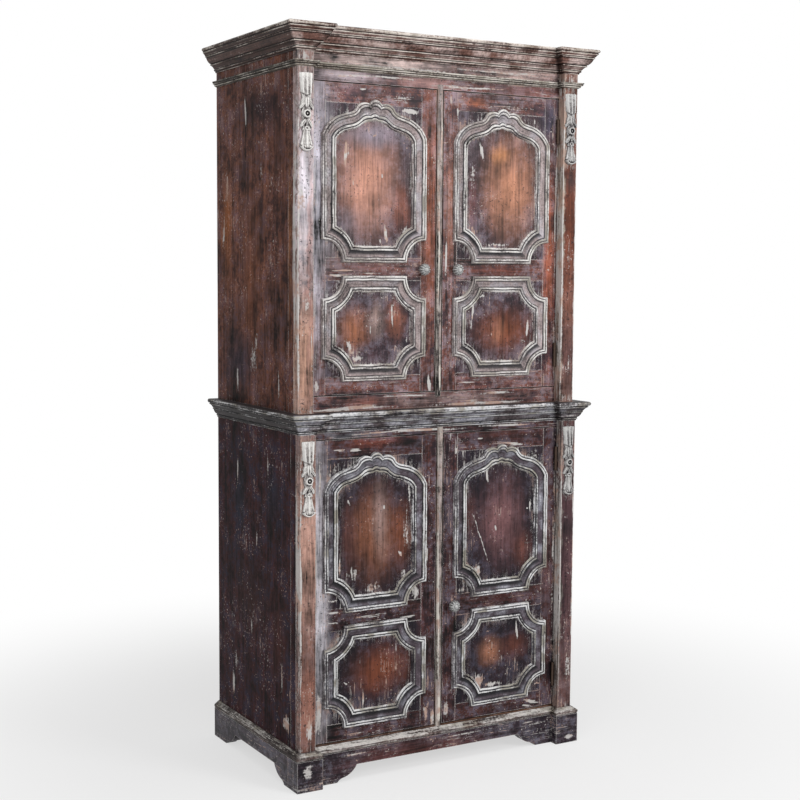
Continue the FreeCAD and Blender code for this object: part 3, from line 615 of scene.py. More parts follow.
class Shader(Nodes):
    """The nodes of one material, for the front or, with on_side, for the sides."""

    def __init__(self, name, on_side=False):
        self.material = bpy.data.materials.new(name)
        super().__init__(self.material)
        self.on_side = on_side
        self.place = self.add("TexCoord").outputs["Object"]

    def weigh(self, *shares, start=0.0):
        """The weighted sum of some values, from a starting number."""
        total = start
        for value, weight in shares:
            total = self.add("Math", {0: value, 1: weight, 2: total},
                             operation="MULTIPLY_ADD").outputs[0]
        return total

    def layer(self, name):
        """A layer of numbers on the mesh."""
        return self.add("Attribute", attribute_name=name).outputs["Fac"]

    def moved(self, vector, scale=(1, 1, 1), location=(0, 0, 0)):
        node = self.add("Mapping", {"Vector": vector, "Scale": scale, "Location": location})
        return node.outputs[0]

    def noise(self, vector, scale, detail, roughness):
        node = self.add("TexNoise", {"Vector": vector, "Scale": scale, "Detail": detail,
                                     "Roughness": roughness})
        return node.outputs[0]

    def spread(self, value, low, high):
        """0 below low and 1 above high, with a soft step between."""
        node = self.add("MapRange", {0: value, 1: low, 2: high}, interpolation_type="SMOOTHSTEP")
        return node.outputs[0]

    def mix(self, share, first, second):
        """The first colour turning into the second, each a socket or a code."""
        first, second = (srgb(one) if isinstance(one, str) else one for one in (first, second))
        node = self.add("Mix", {0: share, 6: first, 7: second}, data_type="RGBA")
        return node.outputs[2]

    def ramp(self, value, stops):
        """A colour or a grey level for each value, from stops of position and colour or level."""
        node = self.add("ValToRGB", {0: value})
        elements = node.color_ramp.elements
        while len(elements) < len(stops):
            elements.new(0.5)
        for element, (position, code) in zip(elements, stops):
            element.position = position
            element.color = srgb(code) if isinstance(code, str) else (code, code, code, 1)
        return node.outputs[0]

    def astray(self, scale, distance, stretch=(1, 1, 1)):
        """The place, moved about smoothly so that outlines drawn in it turn ragged."""
        field = self.add("TexNoise", {
            "Vector": self.moved(self.place, stretch), "Scale": scale, "Detail": 4.0,
            "Roughness": 0.65}).outputs["Color"]
        centred = self.add("VectorMath", {0: field, 1: (0.5, 0.5, 0.5)},
                           operation="SUBTRACT").outputs[0]
        return self.add("VectorMath", {0: centred, 1: (distance,) * 3, 2: self.place},
                        operation="MULTIPLY_ADD").outputs[0]

    def blot(self, vector, across, level, wide, tall, lean=0.0):
        """1 in the middle of an oval on the front or on a side, falling to 0 at its edge.

        The place is x and z on the front or y and z on a side. It and the half sizes are in
        millimetres, and the lean is in degrees.
        """
        turn = math.radians(lean)
        if self.on_side:
            oval = {"Location": (0, across * MM, level * MM), "Rotation": (turn, 0, 0),
                    "Scale": (FLAT, wide * MM, tall * MM)}
        else:
            oval = {"Location": (across * MM, 0, level * MM), "Rotation": (0, turn, 0),
                    "Scale": (wide * MM, FLAT, tall * MM)}
        near = self.add("Mapping", {"Vector": vector, **oval}, vector_type="TEXTURE").outputs[0]
        length = self.add("VectorMath", {0: near}, operation="LENGTH")
        return self.spread(length.outputs["Value"], 1.0, 0.0)

    def shade(self, colour, level):
        """A colour made lighter or darker by a level."""
        return self.add("VectorMath", {0: colour, "Scale": level}, operation="SCALE").outputs[0]

    def edges(self, radius):
        """1 on edges, where a rounded normal leaves the true one."""
        rounded = self.add("Bevel", {"Radius": radius}, samples=4).outputs[0]
        flat = self.add("NewGeometry").outputs["Normal"]
        product = self.add("VectorMath", {0: rounded, 1: flat},
                           operation="DOT_PRODUCT").outputs["Value"]
        return self.spread(product, 0.985, 0.86)

    def open_share(self, distance):
        """1 in the open and less in corners and hollows."""
        node = self.add("AmbientOcclusion", {"Distance": distance}, samples=6)
        return node.outputs["AO"]

    def finish(self, colour, roughness, height, relief_depth, specular, metallic=0.0):
        normal = self.add("Bump", {"Height": height, "Distance": relief_depth,
                                   "Strength": 1.0}).outputs[0]
        surface = self.add("BsdfPrincipled", {
            "Base Color": colour, "Roughness": roughness, "Normal": normal,
            "Specular IOR Level": specular, "Metallic": metallic})
        self.add("OutputMaterial", {"Surface": surface.outputs[0]})
        return self.material


def aged_wood(name, grain=ALONG_Z, colour="#5a3d3b", dark="#110e14", pale="#cfcbc8",
              haze_colour="#868892", haze=0.3, soot="#1f1c27", contrast=1.0, streaked=0.35,
              flecked=0.3, rubbed=0.6, limed=0.3, hollow=0.85, specular=0.15, stains_and_painted_light=(), marks=(),
              on_side=False):
    """Old stained wood: grain, dark patina with painted shade in hollows and corners, rubbed edges,
    and white left in pores and corners.

    Stains, with painted sheen, painted highlights and a painted shadow in some tables, and marks
    are rows of the tables below.
    """
    shader = Shader(name, on_side)
    along = shader.moved(shader.place, grain)
    fibres = shader.noise(along, 170, 5, 0.7)
    streaks = shader.noise(along, 42, 4, 0.65)
    pores = shader.noise(shader.moved(along, location=(3, 5, 7)), 230, 4, 0.65)
    clouds = shader.noise(shader.place, 7, 4, 0.6)
    patches = shader.noise(shader.moved(shader.place, location=(9, 2, 4)), 15, 4, 0.65)
    specks = shader.noise(shader.place, 130, 3, 0.6)
    mottle = shader.noise(shader.moved(shader.place, location=(1, 6, 2)), 48, 5, 0.75)
    opened = shader.open_share(WOOD_HOLLOWS)
    loose = shader.astray(13, 0.06)

    hazy = shader.weigh((patches, 0.7), (mottle, 0.7), (specks, 0.4), start=-0.4)
    haze_share = shader.times(shader.spread(hazy, 0.42, 0.62), haze)
    tone = shader.mix(haze_share, colour, haze_colour)
    sooty = shader.weigh((patches, 0.8), (mottle, 0.5), (streaks, 0.3), start=-0.3)
    tone = shader.mix(shader.times(shader.spread(sooty, 0.5, 0.36), 0.75), tone, soot)
    # Stain colours, and where the tables hold them, painted sheen, painted highlights and painted
    # shadow
    for *oval, code, strength in stains_and_painted_light:
        tone = shader.mix(shader.times(shader.blot(loose, *oval), strength), tone, code)
    figure = shader.weigh((streaks, 0.9), (clouds, 1.0), (fibres, 1.1), (patches, 0.6),
                          (mottle, 0.3), start=-1.95)
    tone = shader.shade(tone, shader.weigh((figure, 2.0 * contrast), start=1.0))

    # Darker in hollows and corners from the occlusion: dark patina and painted shade
    grime_and_shade_level = shader.weigh((opened, 1.0), (specks, 0.9), (streaks, 0.5), start=-0.7)
    grime_and_shade = shader.times(shader.spread(grime_and_shade_level, 0.7, 0.25), hollow)
    tone = shader.mix(grime_and_shade, tone, dark)
    dirt = shader.times(shader.spread(specks, 0.59, 0.65), shader.spread(clouds, 0.4, 0.55))
    tone = shader.mix(shader.times(dirt, 0.8), tone, dark)

    bare = shader.weigh((patches, 0.7), (clouds, 0.7), start=-0.2)
    worn = shader.times(shader.spread(pores, 0.57, 0.64),
                        shader.spread(bare, 0.64 - 0.25 * streaked, 0.72 - 0.25 * streaked))
    flecks = shader.times(shader.spread(specks, 0.38, 0.33),
                          shader.spread(bare, 0.64 - 0.25 * flecked, 0.7 - 0.25 * flecked))
    worn = shader.highest(worn, flecks)
    edge = shader.times(shader.edges(WORN_EDGE_RADIUS), shader.spread(opened, 0.3, 0.7))
    edge = shader.times(edge, shader.spread(fibres, 0.66 - 0.4 * rubbed, 0.76 - 0.4 * rubbed))
    worn = shader.highest(worn, edge)
    chalky = shader.weigh((pores, 1.0), (specks, 0.5), (patches, 0.5), start=-0.5)
    liming = shader.times(shader.spread(opened, 0.97, 0.8),
                          shader.spread(chalky, 0.66 - 0.2 * limed, 0.74 - 0.2 * limed))
    worn = shader.highest(worn, shader.times(liming, 0.7))
    ragged = shader.astray(60, 0.022, grain)
    for *oval, strength in marks:
        mark = shader.weigh((shader.blot(ragged, *oval), strength), (pores, 1.5), (specks, 1.1),
                            start=-1.3)
        worn = shader.highest(worn, shader.spread(mark, 0.36, 0.62))
    bared = shader.mix(shader.spread(patches, 0.5, 0.6), pale, "#bfa294")
    tone = shader.mix(shader.times(worn, 0.88), tone, bared)

    roughness = shader.weigh((fibres, 0.25), (worn, 0.25), start=0.32)
    height = shader.math("SUBTRACT", shader.math("ADD", fibres, streaks), worn)
    return shader.finish(tone, roughness, height, WOOD_RELIEF, specular)


def chalked(shader, colour, figure, ridge, wear, pale, patina_and_shade_colour, strength):
    """Darken quirks and corners of a moulding with dark patina and painted shade, and leave chalk
    on its arrises.
    """
    opened = shader.open_share(MOULDING_HOLLOWS)
    # Quirks and occluded corners take the dark colour: dark patina and painted shade
    quirk = shader.highest(shader.spread(ridge, 0.46, 0.26), shader.spread(opened, 0.66, 0.3))
    colour = shader.mix(shader.times(quirk, 0.94), colour, patina_and_shade_colour)
    chalk = shader.weigh((figure, 1.0), (shader.spread(ridge, 0.54, 0.84), 0.34), (quirk, -0.4),
                         (wear, 1.0))
    tint = shader.noise(shader.moved(shader.place, location=(4, 8, 1)), 14, 3, 0.6)
    pale = shader.mix(shader.spread(tint, 0.47, 0.6), pale, "#a39e92")
    return shader.mix(shader.times(shader.spread(chalk, 0.12, 0.42), strength), colour, pale)


def ring_wood(name, reed, cove, inner, patina_and_shade_colour, pale, wear, strength):
    """The shaped mouldings: reeds with chalky arrises beside a hollow with painted shade at its
    foot along the bottom of the ring.

    Up the right side, which turns towards the light, painted light makes the cove lighter, the
    reeds paler and the inner bead duller; down the left side it is painted the other way round.
    """
    shader = Shader(name)
    run, share = shader.layer("run"), shader.layer("share")
    bottom, rising = shader.layer("heading_right"), shader.layer("heading_up")
    section = shader.add("CombineXYZ", {0: run, 1: share}).outputs[0]
    lines = shader.noise(shader.moved(section, (9, 22, 0)), 1, 5, 0.7)
    stretches = shader.noise(shader.moved(section, (11, 3.5, 0)), 1, 3, 0.6)
    patches = shader.noise(shader.place, 18, 4, 0.65)
    specks = shader.noise(shader.place, 170, 4, 0.7)

    ridge = shader.ramp(share, [(at, 0.5 + 0.5 * stands_out)
                                for (at, _), stands_out in zip(RING_SECTION, RING_RIDGES)])
    on_reeds = shader.spread(share, 0.34, 0.28)
    on_beads = shader.spread(share, 0.68, 0.72)
    in_cove = shader.math("SUBTRACT", 1.0, shader.highest(on_reeds, on_beads))
    stain = shader.ramp(share, ((0.0, reed), (0.29, reed), (0.33, cove), (0.66, cove),
                                (0.7, inner), (0.82, inner), (0.88, cove), (1.0, cove)))
    # Painted shade in the lower part of the cove along the bottom of the ring
    low_in_cove = shader.times(in_cove, shader.spread(share, 0.36, 0.6))
    shaded = shader.times(low_in_cove, shader.spread(bottom, 0.1, 0.7))
    haze = shader.times(shader.spread(patches, 0.44, 0.62), 0.5)
    stain = shader.mix(haze, stain, "#8d8f98")
    colour = shader.mix(shader.times(shaded, 0.9), stain, patina_and_shade_colour)
    figure = shader.weigh((lines, 1.2), (patches, 0.8), (specks, 1.1), (stretches, 1.0),
                          start=-2.05)
    # Grain figure, and painted light and shade: the cove lighter up the right side, darker down the
    # left
    grain_and_light = shader.weigh((shader.times(rising, in_cove), 0.3), (figure, 2.4), start=1.0)
    colour = shader.shade(colour, grain_and_light)
    # Painted light: more chalk on the reeds and less on the beads up the right side, the opposite
    # down the left
    turned = shader.times(rising, shader.math("SUBTRACT", on_reeds, on_beads))
    colour = chalked(shader, colour, figure, ridge,
                     shader.weigh((in_cove, -0.12), (shaded, -0.3), (turned, 0.12), start=wear),
                     pale, patina_and_shade_colour, strength)

    roughness = shader.weigh((lines, 0.25), start=0.35)
    height = shader.weigh((lines, 1.0), (specks, 0.8))
    return shader.finish(colour, roughness, height, MOULDING_RELIEF, 0.2)


def run_wood(name, front, side, patina_and_shade_colour, pale, wear, strength):
    """Mouldings along the case: pale arrises, quirks darkened with patina and painted shade, darker
    on the sides and on top.
    """
    shader = Shader(name)
    on_side = shader.layer("on_side")
    normal = shader.add("NewGeometry").outputs["Normal"]
    level = shader.add("SeparateXYZ", {0: normal}).outputs["Z"]
    on_top = shader.spread(level, 0.95, 0.99)
    along = shader.moved(shader.place, ALONG_RUN)
    fibres = shader.noise(along, 260, 4, 0.7)
    streaks = shader.noise(along, 90, 4, 0.65)
    patches = shader.noise(shader.place, 11, 4, 0.65)
    specks = shader.noise(shader.place, 140, 4, 0.65)

    stain = shader.mix(shader.spread(patches, 0.4, 0.62), *front)
    colour = shader.mix(shader.highest(on_side, on_top), stain, side)
    figure = shader.weigh((streaks, 0.8), (patches, 0.4), (fibres, 1.2), (specks, 0.8),
                          start=-1.6)
    colour = shader.shade(colour, shader.weigh((figure, 3.0), start=1.0))
    ridge = shader.weigh((shader.layer("ridge"), 0.5), start=0.5)
    colour = chalked(shader, colour, figure, ridge,
                     shader.weigh((on_side, -0.1), (on_top, -0.38), start=wear),
                     pale, patina_and_shade_colour, strength)

    roughness = shader.weigh((fibres, 0.3), start=0.38)
    height = shader.math("ADD", fibres, streaks)
    return shader.finish(colour, roughness, height, WOOD_RELIEF, 0.12)


def carved_wood(name, *tones):
    """Carving: pale rubbed tops over hollows darkened with dark patina and painted shade, in three
    tones from dull to light.
    """
    shader = Shader(name)
    opened = shader.open_share(CARVING_HOLLOWS)
    grain = shader.noise(shader.moved(shader.place, ALONG_Z), 240, 4, 0.7)
    clouds = shader.noise(shader.place, 90, 4, 0.65)
    # Occlusion sets the tone: dark patina and painted shade in the hollows, paler on the open tops
    level = shader.weigh((opened, 1.5), (clouds, 1.0), start=-1.03)
    colour = shader.ramp(level, ((0.2, "#1d181b"), *zip((0.45, 0.65, 0.9), tones)))
    rough = shader.weigh((grain, 0.5), start=0.3)
    return shader.finish(colour, rough, grain, MOULDING_RELIEF, 0.3)


def worn_metal(name, dark, light, metallic, roughness):
    """Metal with rubbed edges, and grime and painted shade in its hollows."""
    shader = Shader(name)
    opened = shader.open_share(METAL_HOLLOWS)
    grime_and_shade = shader.noise(shader.place, 220, 5, 0.7)
    # Darker in hollows from the occlusion and the noise: grime and painted shade
    level = shader.weigh((opened, 1.2), (grime_and_shade, 1.4), start=-1.05)
    colour = shader.ramp(level, ((0.3, dark), (1.0, light)))
    rough = shader.weigh((grime_and_shade, 0.3), start=roughness)
    return shader.finish(colour, rough, grime_and_shade, METAL_RELIEF, 0.5, metallic)


def paint(material, *names):
    """Give CAD nodes a material."""
    for name in names:
        nodes[name].data.materials.clear()
        nodes[name].data.materials.append(material)


# Stains on the doors, with painted sheen, painted highlights and a painted shadow among them: x, z,
# half width, half height in millimetres, colour, strength
STAINS_AND_PAINTED_LIGHT = {
    "upper_left_door": (
        # The first blot here, pale lavender down the left stile, is painted sheen
        (-414, 1700, 60, 640, "#b7b4be", 1.0), (-385, 1960, 60, 110, "#837e86", 0.6),
        (-36, 1700, 46, 520, "#86492f", 0.8), (-370, 1560, 80, 70, "#85787a", 0.5),
        # The first blot here, pale pink in the upper panel, is painted sheen
        (-245, 1775, 150, 230, "#c18c78", 0.95), (-230, 1905, 130, 60, "#857f8c", 0.8),
        (-320, 1640, 60, 70, "#78707a", 0.5), (-130, 1700, 50, 110, "#96563f", 0.6),
        (-104, 1790, 30, 150, "#4b3a3c", 0.8), (-290, 1340, 75, 100, "#a3684a", 0.8),
        (-150, 1370, 50, 90, "#8f5843", 0.8), (-215, 1370, 45, 80, "#a08880", 0.6),
        (-230, 1520, 160, 24, "#6f4843", 0.6), (-230, 1240, 120, 30, "#54444c", 0.5),
        (-90, 1330, 24, 90, "#41302f", 0.5), (-300, 2026, 90, 22, "#71545a", 0.5)),
    "upper_right_door": (
        # The second blot here, orange in the upper panel, is a painted highlight
        (255, 1775, 145, 240, "#b67f64", 0.95), (215, 1868, 46, 50, "#cd8c5e", 0.8),
        (110, 1880, 50, 60, "#63565c", 0.5), (235, 1330, 150, 105, "#74402a", 1.0),
        (215, 1330, 35, 60, "#9a6a55", 0.6), (130, 2022, 60, 22, "#a05f42", 0.6),
        (405, 1560, 34, 380, "#96523a", 0.9), (400, 1980, 50, 110, "#3c3a4c", 0.9),
        (330, 1960, 70, 60, "#4e3c40", 0.6), (40, 1700, 30, 330, "#8f6352", 0.6),
        (120, 1720, 30, 150, "#6c4240", 0.6), (220, 1510, 150, 28, "#5e3026", 0.6),
        # The first blot here, dark beside the knob, is painted shadow with some grime
        (100, 1480, 40, 20, "#23191a", 0.6), (345, 1760, 18, 160, "#54403f", 0.5)),
    "lower_left_door": (
        (-416, 600, 60, 760, "#c2bfc6", 1.0), (-225, 730, 115, 210, "#84533c", 0.9),
        # The first blot here, a narrow upright lavender streak in the upper panel, is painted sheen
        (-206, 770, 40, 170, "#94827f", 0.6), (-130, 720, 50, 150, "#7d4830", 0.7),
        (-310, 720, 40, 180, "#5d3a34", 0.7), (-200, 320, 150, 105, "#6e3c29", 1.0),
        (-240, 1006, 150, 24, "#6b3527", 0.7), (-380, 720, 20, 300, "#4d3638", 0.5),
        (-230, 930, 90, 40, "#3f3844", 0.5), (-60, 600, 30, 420, "#4f3336", 0.5)),
    "lower_right_door": (
        (110, 760, 50, 120, "#563530", 0.6), (230, 740, 125, 200, "#714f50", 0.9),
        (310, 640, 60, 90, "#6b4036", 0.7), (190, 325, 70, 70, "#94644e", 0.9),
        (285, 330, 75, 65, "#65392d", 0.8), (220, 490, 160, 26, "#42201c", 0.7),
        (220, 1006, 160, 26, "#43241f", 0.6), (405, 600, 34, 420, "#553c3c", 0.7))}

# Bare and chalky marks on them: x, z, half width, half height, lean in degrees, strength
MARKS = {
    "upper_left_door": (
        (-316, 1850, 9, 70, 4, 1.2), (-186, 1622, 9, 46, -8, 1.1), (-203, 1600, 6, 18, 0, 1.0),
        (-118, 1627, 36, 26, 20, 0.6), (-295, 1765, 4, 14, 0, 1.0), (-198, 1790, 4, 14, -8, 0.8),
        (-104, 1981, 46, 11, 3, 1.2), (-262, 2033, 16, 5, -8, 1.2), (-130, 2015, 60, 22, 0, 0.5),
        (-325, 1512, 48, 6, 0, 1.0), (-345, 1497, 50, 6, 0, 0.8), (-235, 1503, 70, 5, 0, 0.7),
        (-386, 1612, 24, 15, -30, 1.0), (-162, 1385, 8, 60, -6, 1.1), (-235, 1340, 5, 30, 0, 0.7),
        (-305, 1290, 14, 50, -28, 0.8), (-280, 1256, 30, 14, 0, 0.8), (-110, 1325, 12, 60, 0, 0.5),
        (-410, 1178, 12, 30, 0, 1.0), (-30, 1172, 12, 40, -10, 1.0), (-418, 1760, 5, 200, 0, 0.7),
        (-418, 1400, 5, 160, 0, 0.6), (-40, 1790, 5, 90, 0, 0.5), (-230, 1236, 90, 6, 0, 0.6)),
    "upper_right_door": (
        (147, 1880, 9, 50, -14, 1.0), (118, 1800, 26, 90, 0, 0.5), (122, 1395, 8, 50, 6, 1.1),
        (112, 1350, 10, 34, 0, 0.6), (155, 1440, 40, 8, 0, 0.7), (325, 1335, 9, 44, 8, 1.1),
        (308, 1298, 12, 26, 0, 0.6), (190, 1320, 5, 14, -20, 0.7), (38, 2025, 5, 26, 0, 0.9),
        (62, 1990, 12, 22, 0, 0.6), (345, 1975, 9, 20, 0, 0.6), (100, 1172, 56, 5, 0, 0.7),
        (25, 1545, 7, 90, 0, 1.1), (120, 1640, 16, 44, -30, 0.6), (210, 1594, 80, 7, 0, 0.7),
        (230, 1236, 90, 7, 0, 0.7), (429, 1750, 5, 420, 0, 0.9), (429, 1280, 5, 200, 0, 0.7),
        (250, 2010, 160, 40, 0, 0.35)),
    "lower_left_door": (
        (-345, 990, 32, 5, 0, 1.0), (-290, 988, 32, 7, 0, 1.0), (-312, 832, 4, 20, -20, 0.9),
        (-195, 812, 5, 14, -10, 1.0), (-137, 664, 6, 18, -28, 1.2), (-105, 860, 14, 90, 0, 0.7),
        (-118, 740, 14, 120, 0, 0.55), (-345, 640, 14, 50, 0, 0.7), (-300, 620, 40, 40, 0, 0.5),
        (-235, 572, 50, 40, 0, 0.6), (-125, 605, 24, 30, 0, 0.5), (-365, 511, 30, 5, 0, 1.1),
        (-365, 545, 28, 5, 0, 0.9), (-365, 478, 32, 6, 0, 0.8), (-210, 507, 80, 5, 0, 0.9),
        (-240, 488, 110, 6, 0, 0.8), (-110, 470, 50, 6, 0, 0.9), (-85, 545, 40, 50, 0, 0.65),
        (-262, 236, 5, 34, 0, 1.0), (-152, 385, 5, 50, 0, 0.8), (-320, 292, 11, 5, 0, 1.1),
        (-42, 650, 8, 50, 0, 0.7), (-45, 165, 14, 50, 0, 0.9), (-22, 145, 10, 50, 0, 1.0),
        (-412, 210, 16, 110, 0, 0.9), (-408, 900, 9, 120, 0, 0.6), (-424, 660, 7, 300, 0, 0.9),
        (-300, 133, 70, 6, 0, 0.8), (-360, 930, 50, 60, 0, 0.4)),
    "lower_right_door": (
        (172, 890, 9, 50, -12, 1.0), (335, 778, 5, 30, 0, 1.1), (326, 768, 9, 5, -30, 1.0),
        (206, 716, 6, 16, -18, 1.2), (152, 682, 3, 160, -21, 0.9), (92, 615, 16, 70, 0, 0.8),
        (138, 582, 36, 50, 0, 0.75), (95, 720, 10, 90, 0, 0.6), (290, 378, 8, 44, -6, 1.0),
        (150, 238, 34, 40, 0, 0.8), (200, 218, 60, 12, 0, 0.8), (352, 141, 56, 8, 16, 1.1),
        (330, 130, 30, 6, 10, 1.0), (384, 226, 22, 7, 12, 0.9), (372, 196, 24, 6, 0, 0.8),
        (145, 1000, 16, 4, 0, 1.1), (262, 978, 80, 6, 4, 0.9), (58, 966, 9, 20, 0, 0.8),
        (78, 532, 40, 18, 0, 0.6), (30, 160, 14, 50, 0, 0.8), (60, 240, 12, 40, 0, 0.6),
        (330, 650, 20, 70, 0, 0.4), (429, 600, 5, 420, 0, 0.7), (350, 930, 50, 60, 0, 0.4))}

# The same on the pilasters, rails, beads and plinth, with painted sheen on the upper left pilaster
PILASTER_STAINS_AND_SHEEN = {
    "upper": (
        # The first blot, pale lavender on the upper left pilaster, is painted sheen
        (-460, 1760, 90, 480, "#c4bfc7", 0.9), (-460, 1260, 90, 260, "#b88f7b", 0.9),
        (-446, 1500, 14, 620, "#a97c73", 0.6), (-486, 1600, 4, 900, "#5a3a2c", 0.9),
        (460, 1700, 120, 900, "#5f3020", 1.0), (468, 1240, 60, 200, "#452e2e", 0.9),
        (468, 1800, 40, 60, "#3a2c2e", 0.8), (434, 1620, 12, 900, "#a29a8e", 0.9)),
    "lower": (
        (-460, 700, 90, 420, "#bb9283", 0.9), (-460, 250, 90, 240, "#8a5f51", 0.9),
        (-486, 600, 4, 900, "#281a1b", 0.9), (460, 640, 120, 900, "#4a3337", 1.0),
        (468, 700, 60, 90, "#2e2326", 0.8), (434, 600, 12, 900, "#8c857e", 0.9))}
PILASTER_MARKS = (
    (-483, 1500, 5, 900, 0, 0.9), (-470, 1720, 20, 90, 0, 0.5), (-440, 1300, 5, 130, 0, 0.6),
    (-458, 1420, 22, 60, 0, 0.6), (437, 1600, 5, 900, 0, 1.0), (484, 1600, 5, 900, 0, 0.9),
    (-483, 600, 5, 700, 0, 0.9), (-455, 180, 24, 60, 0, 0.8), (437, 600, 5, 700, 0, 0.9),
    (470, 250, 20, 120, 0, 0.6), (484, 600, 5, 700, 0, 0.8), (468, 1220, 12, 60, 0, 0.6),
    (-460, 2112, 30, 24, 0, 0.6), (462, 2112, 30, 24, 0, 0.6), (-460, 1064, 30, 30, 0, 0.6))
RAIL_STAINS = (
    (-330, 2070, 220, 40, "#b3a5ab", 0.9), (-60, 2070, 150, 40, "#9a7773", 0.8),
    (300, 2070, 220, 40, "#6b4a48", 0.7), (-200, 2114, 380, 40, "#d3bdb7", 1.0),
    (280, 2114, 260, 40, "#b79f99", 0.9), (0, 1125, 480, 26, "#877370", 0.7),
    (-250, 1125, 110, 20, "#8f5548", 0.7), (-330, 1034, 160, 14, "#6b6a70", 0.7))
RAIL_MARKS = (
    (-300, 1110, 260, 8, 0, 0.9), (150, 1108, 280, 8, 0, 0.9), (-120, 1140, 160, 5, 0, 0.8),
    (220, 1138, 120, 6, 0, 0.8), (-200, 2072, 220, 5, 0, 0.8), (120, 2064, 240, 5, 0, 0.7),
    (-150, 2104, 320, 5, 0, 0.8), (200, 2118, 240, 6, 0, 0.7), (-100, 1035, 300, 6, 0, 0.9),
    (250, 1035, 180, 6, 0, 0.9))
BEAD_MARKS = (
    (-5, 1600, 5, 500, 0, 1.0), (-5, 560, 6, 500, 0, 1.1), (3, 1200, 10, 70, 0, 1.1),
    (3, 180, 10, 90, 0, 1.1), (5, 1900, 8, 160, 0, 0.9))
PLINTH_STAINS = (
    (-80, 45, 380, 70, "#5f3733", 0.9),)
PLINTH_MARKS = (
    (-466, 60, 24, 40, 0, 0.8), (-300, 78, 90, 8, 0, 0.7), (60, 80, 160, 8, 0, 0.6),
    (360, 70, 80, 10, 0, 0.6), (468, 20, 30, 14, 0, 0.8), (-420, 20, 40, 12, 0, 0.6))

# The same on the sides of the case, with y in the place of x
SIDE_STAINS = {
    "upper": (
        (60, 1500, 100, 380, "#70442f", 0.7), (240, 1650, 60, 260, "#85502f", 0.9),
        (-130, 1850, 70, 200, "#5a3a30", 0.6), (150, 1230, 170, 130, "#39333f", 0.8),
        (-40, 1990, 260, 100, "#1d171f", 0.8), (-215, 1600, 14, 420, "#8a5f42", 0.7)),
    "lower": (
        (150, 820, 60, 160, "#2c3340", 0.6), (-100, 850, 90, 130, "#262b38", 0.6),
        (80, 500, 200, 180, "#33201c", 0.6), (-130, 420, 80, 220, "#432621", 0.7))}
SIDE_MARKS = {
    "upper": (
        (95, 1990, 8, 70, -4, 1.0), (262, 1640, 14, 100, 6, 0.7), (240, 1760, 30, 90, 0, 0.5),
        (160, 1180, 14, 70, 0, 0.8), (40, 1240, 40, 80, 0, 0.5), (-140, 1180, 9, 80, 0, 0.7),
        (20, 1300, 20, 60, 0, 0.6), (-20, 1800, 12, 60, 0, 0.5), (-236, 1600, 4, 400, 0, 0.8)),
    "lower": (
        (165, 900, 9, 70, 0, 0.8), (200, 200, 12, 70, 0, 0.8), (180, 280, 40, 60, 0, 0.45),
        (20, 700, 9, 50, 0, 0.6), (-160, 300, 8, 90, 0, 0.6), (-190, 175, 40, 40, -30, 0.9),
        (-60, 930, 9, 80, 0, 0.6), (60, 420, 8, 60, 0, 0.5))}


# Dressing the CAD nodes

def dress_case():
    """Materials for the sides, posts, shelves, back and hinges."""
    outside = {
        "upper": {"colour": "#6e4534", "haze": 0.6, "haze_colour": "#4b4350", "soot": "#33252a"},
        "lower": {"colour": "#3f2220", "haze": 0.7, "haze_colour": "#252a3a", "soot": "#14111a"}}
    for stage, look in outside.items():
        side_wood = aged_wood(stage + "_side_wood", dark="#070405", contrast=1.25, streaked=0.3,
                              flecked=0.6, specular=0.02, stains_and_painted_light=SIDE_STAINS[stage],
                              marks=SIDE_MARKS[stage], on_side=True, **look)
        paint(side_wood, stage + "_side_left", stage + "_side_right", stage + "_posts")
    inner = {"colour": "#6a4a38", "dark": "#2b1d17", "haze": 0.1, "soot": "#3b2c25",
             "streaked": 0.0, "flecked": 0.0, "rubbed": 0.3, "limed": 0.0}
    paint(aged_wood("inner_wood", ALONG_X, **inner), "plinth_back", "lower_bottom_board",
          "waist_board", "upper_top_board", "lower_shelf", "upper_shelves", "shelf_cleats")
    paint(aged_wood("upright_inner_wood", **inner), "upper_back_planks", "lower_back_planks",
          "upper_centre_post", "lower_centre_post")
    iron = worn_metal("hinge_iron", "#17120f", "#5a4a40", 0.8, 0.45)
    paint(iron, *[name for name in nodes if "hinge_leaves" in name])


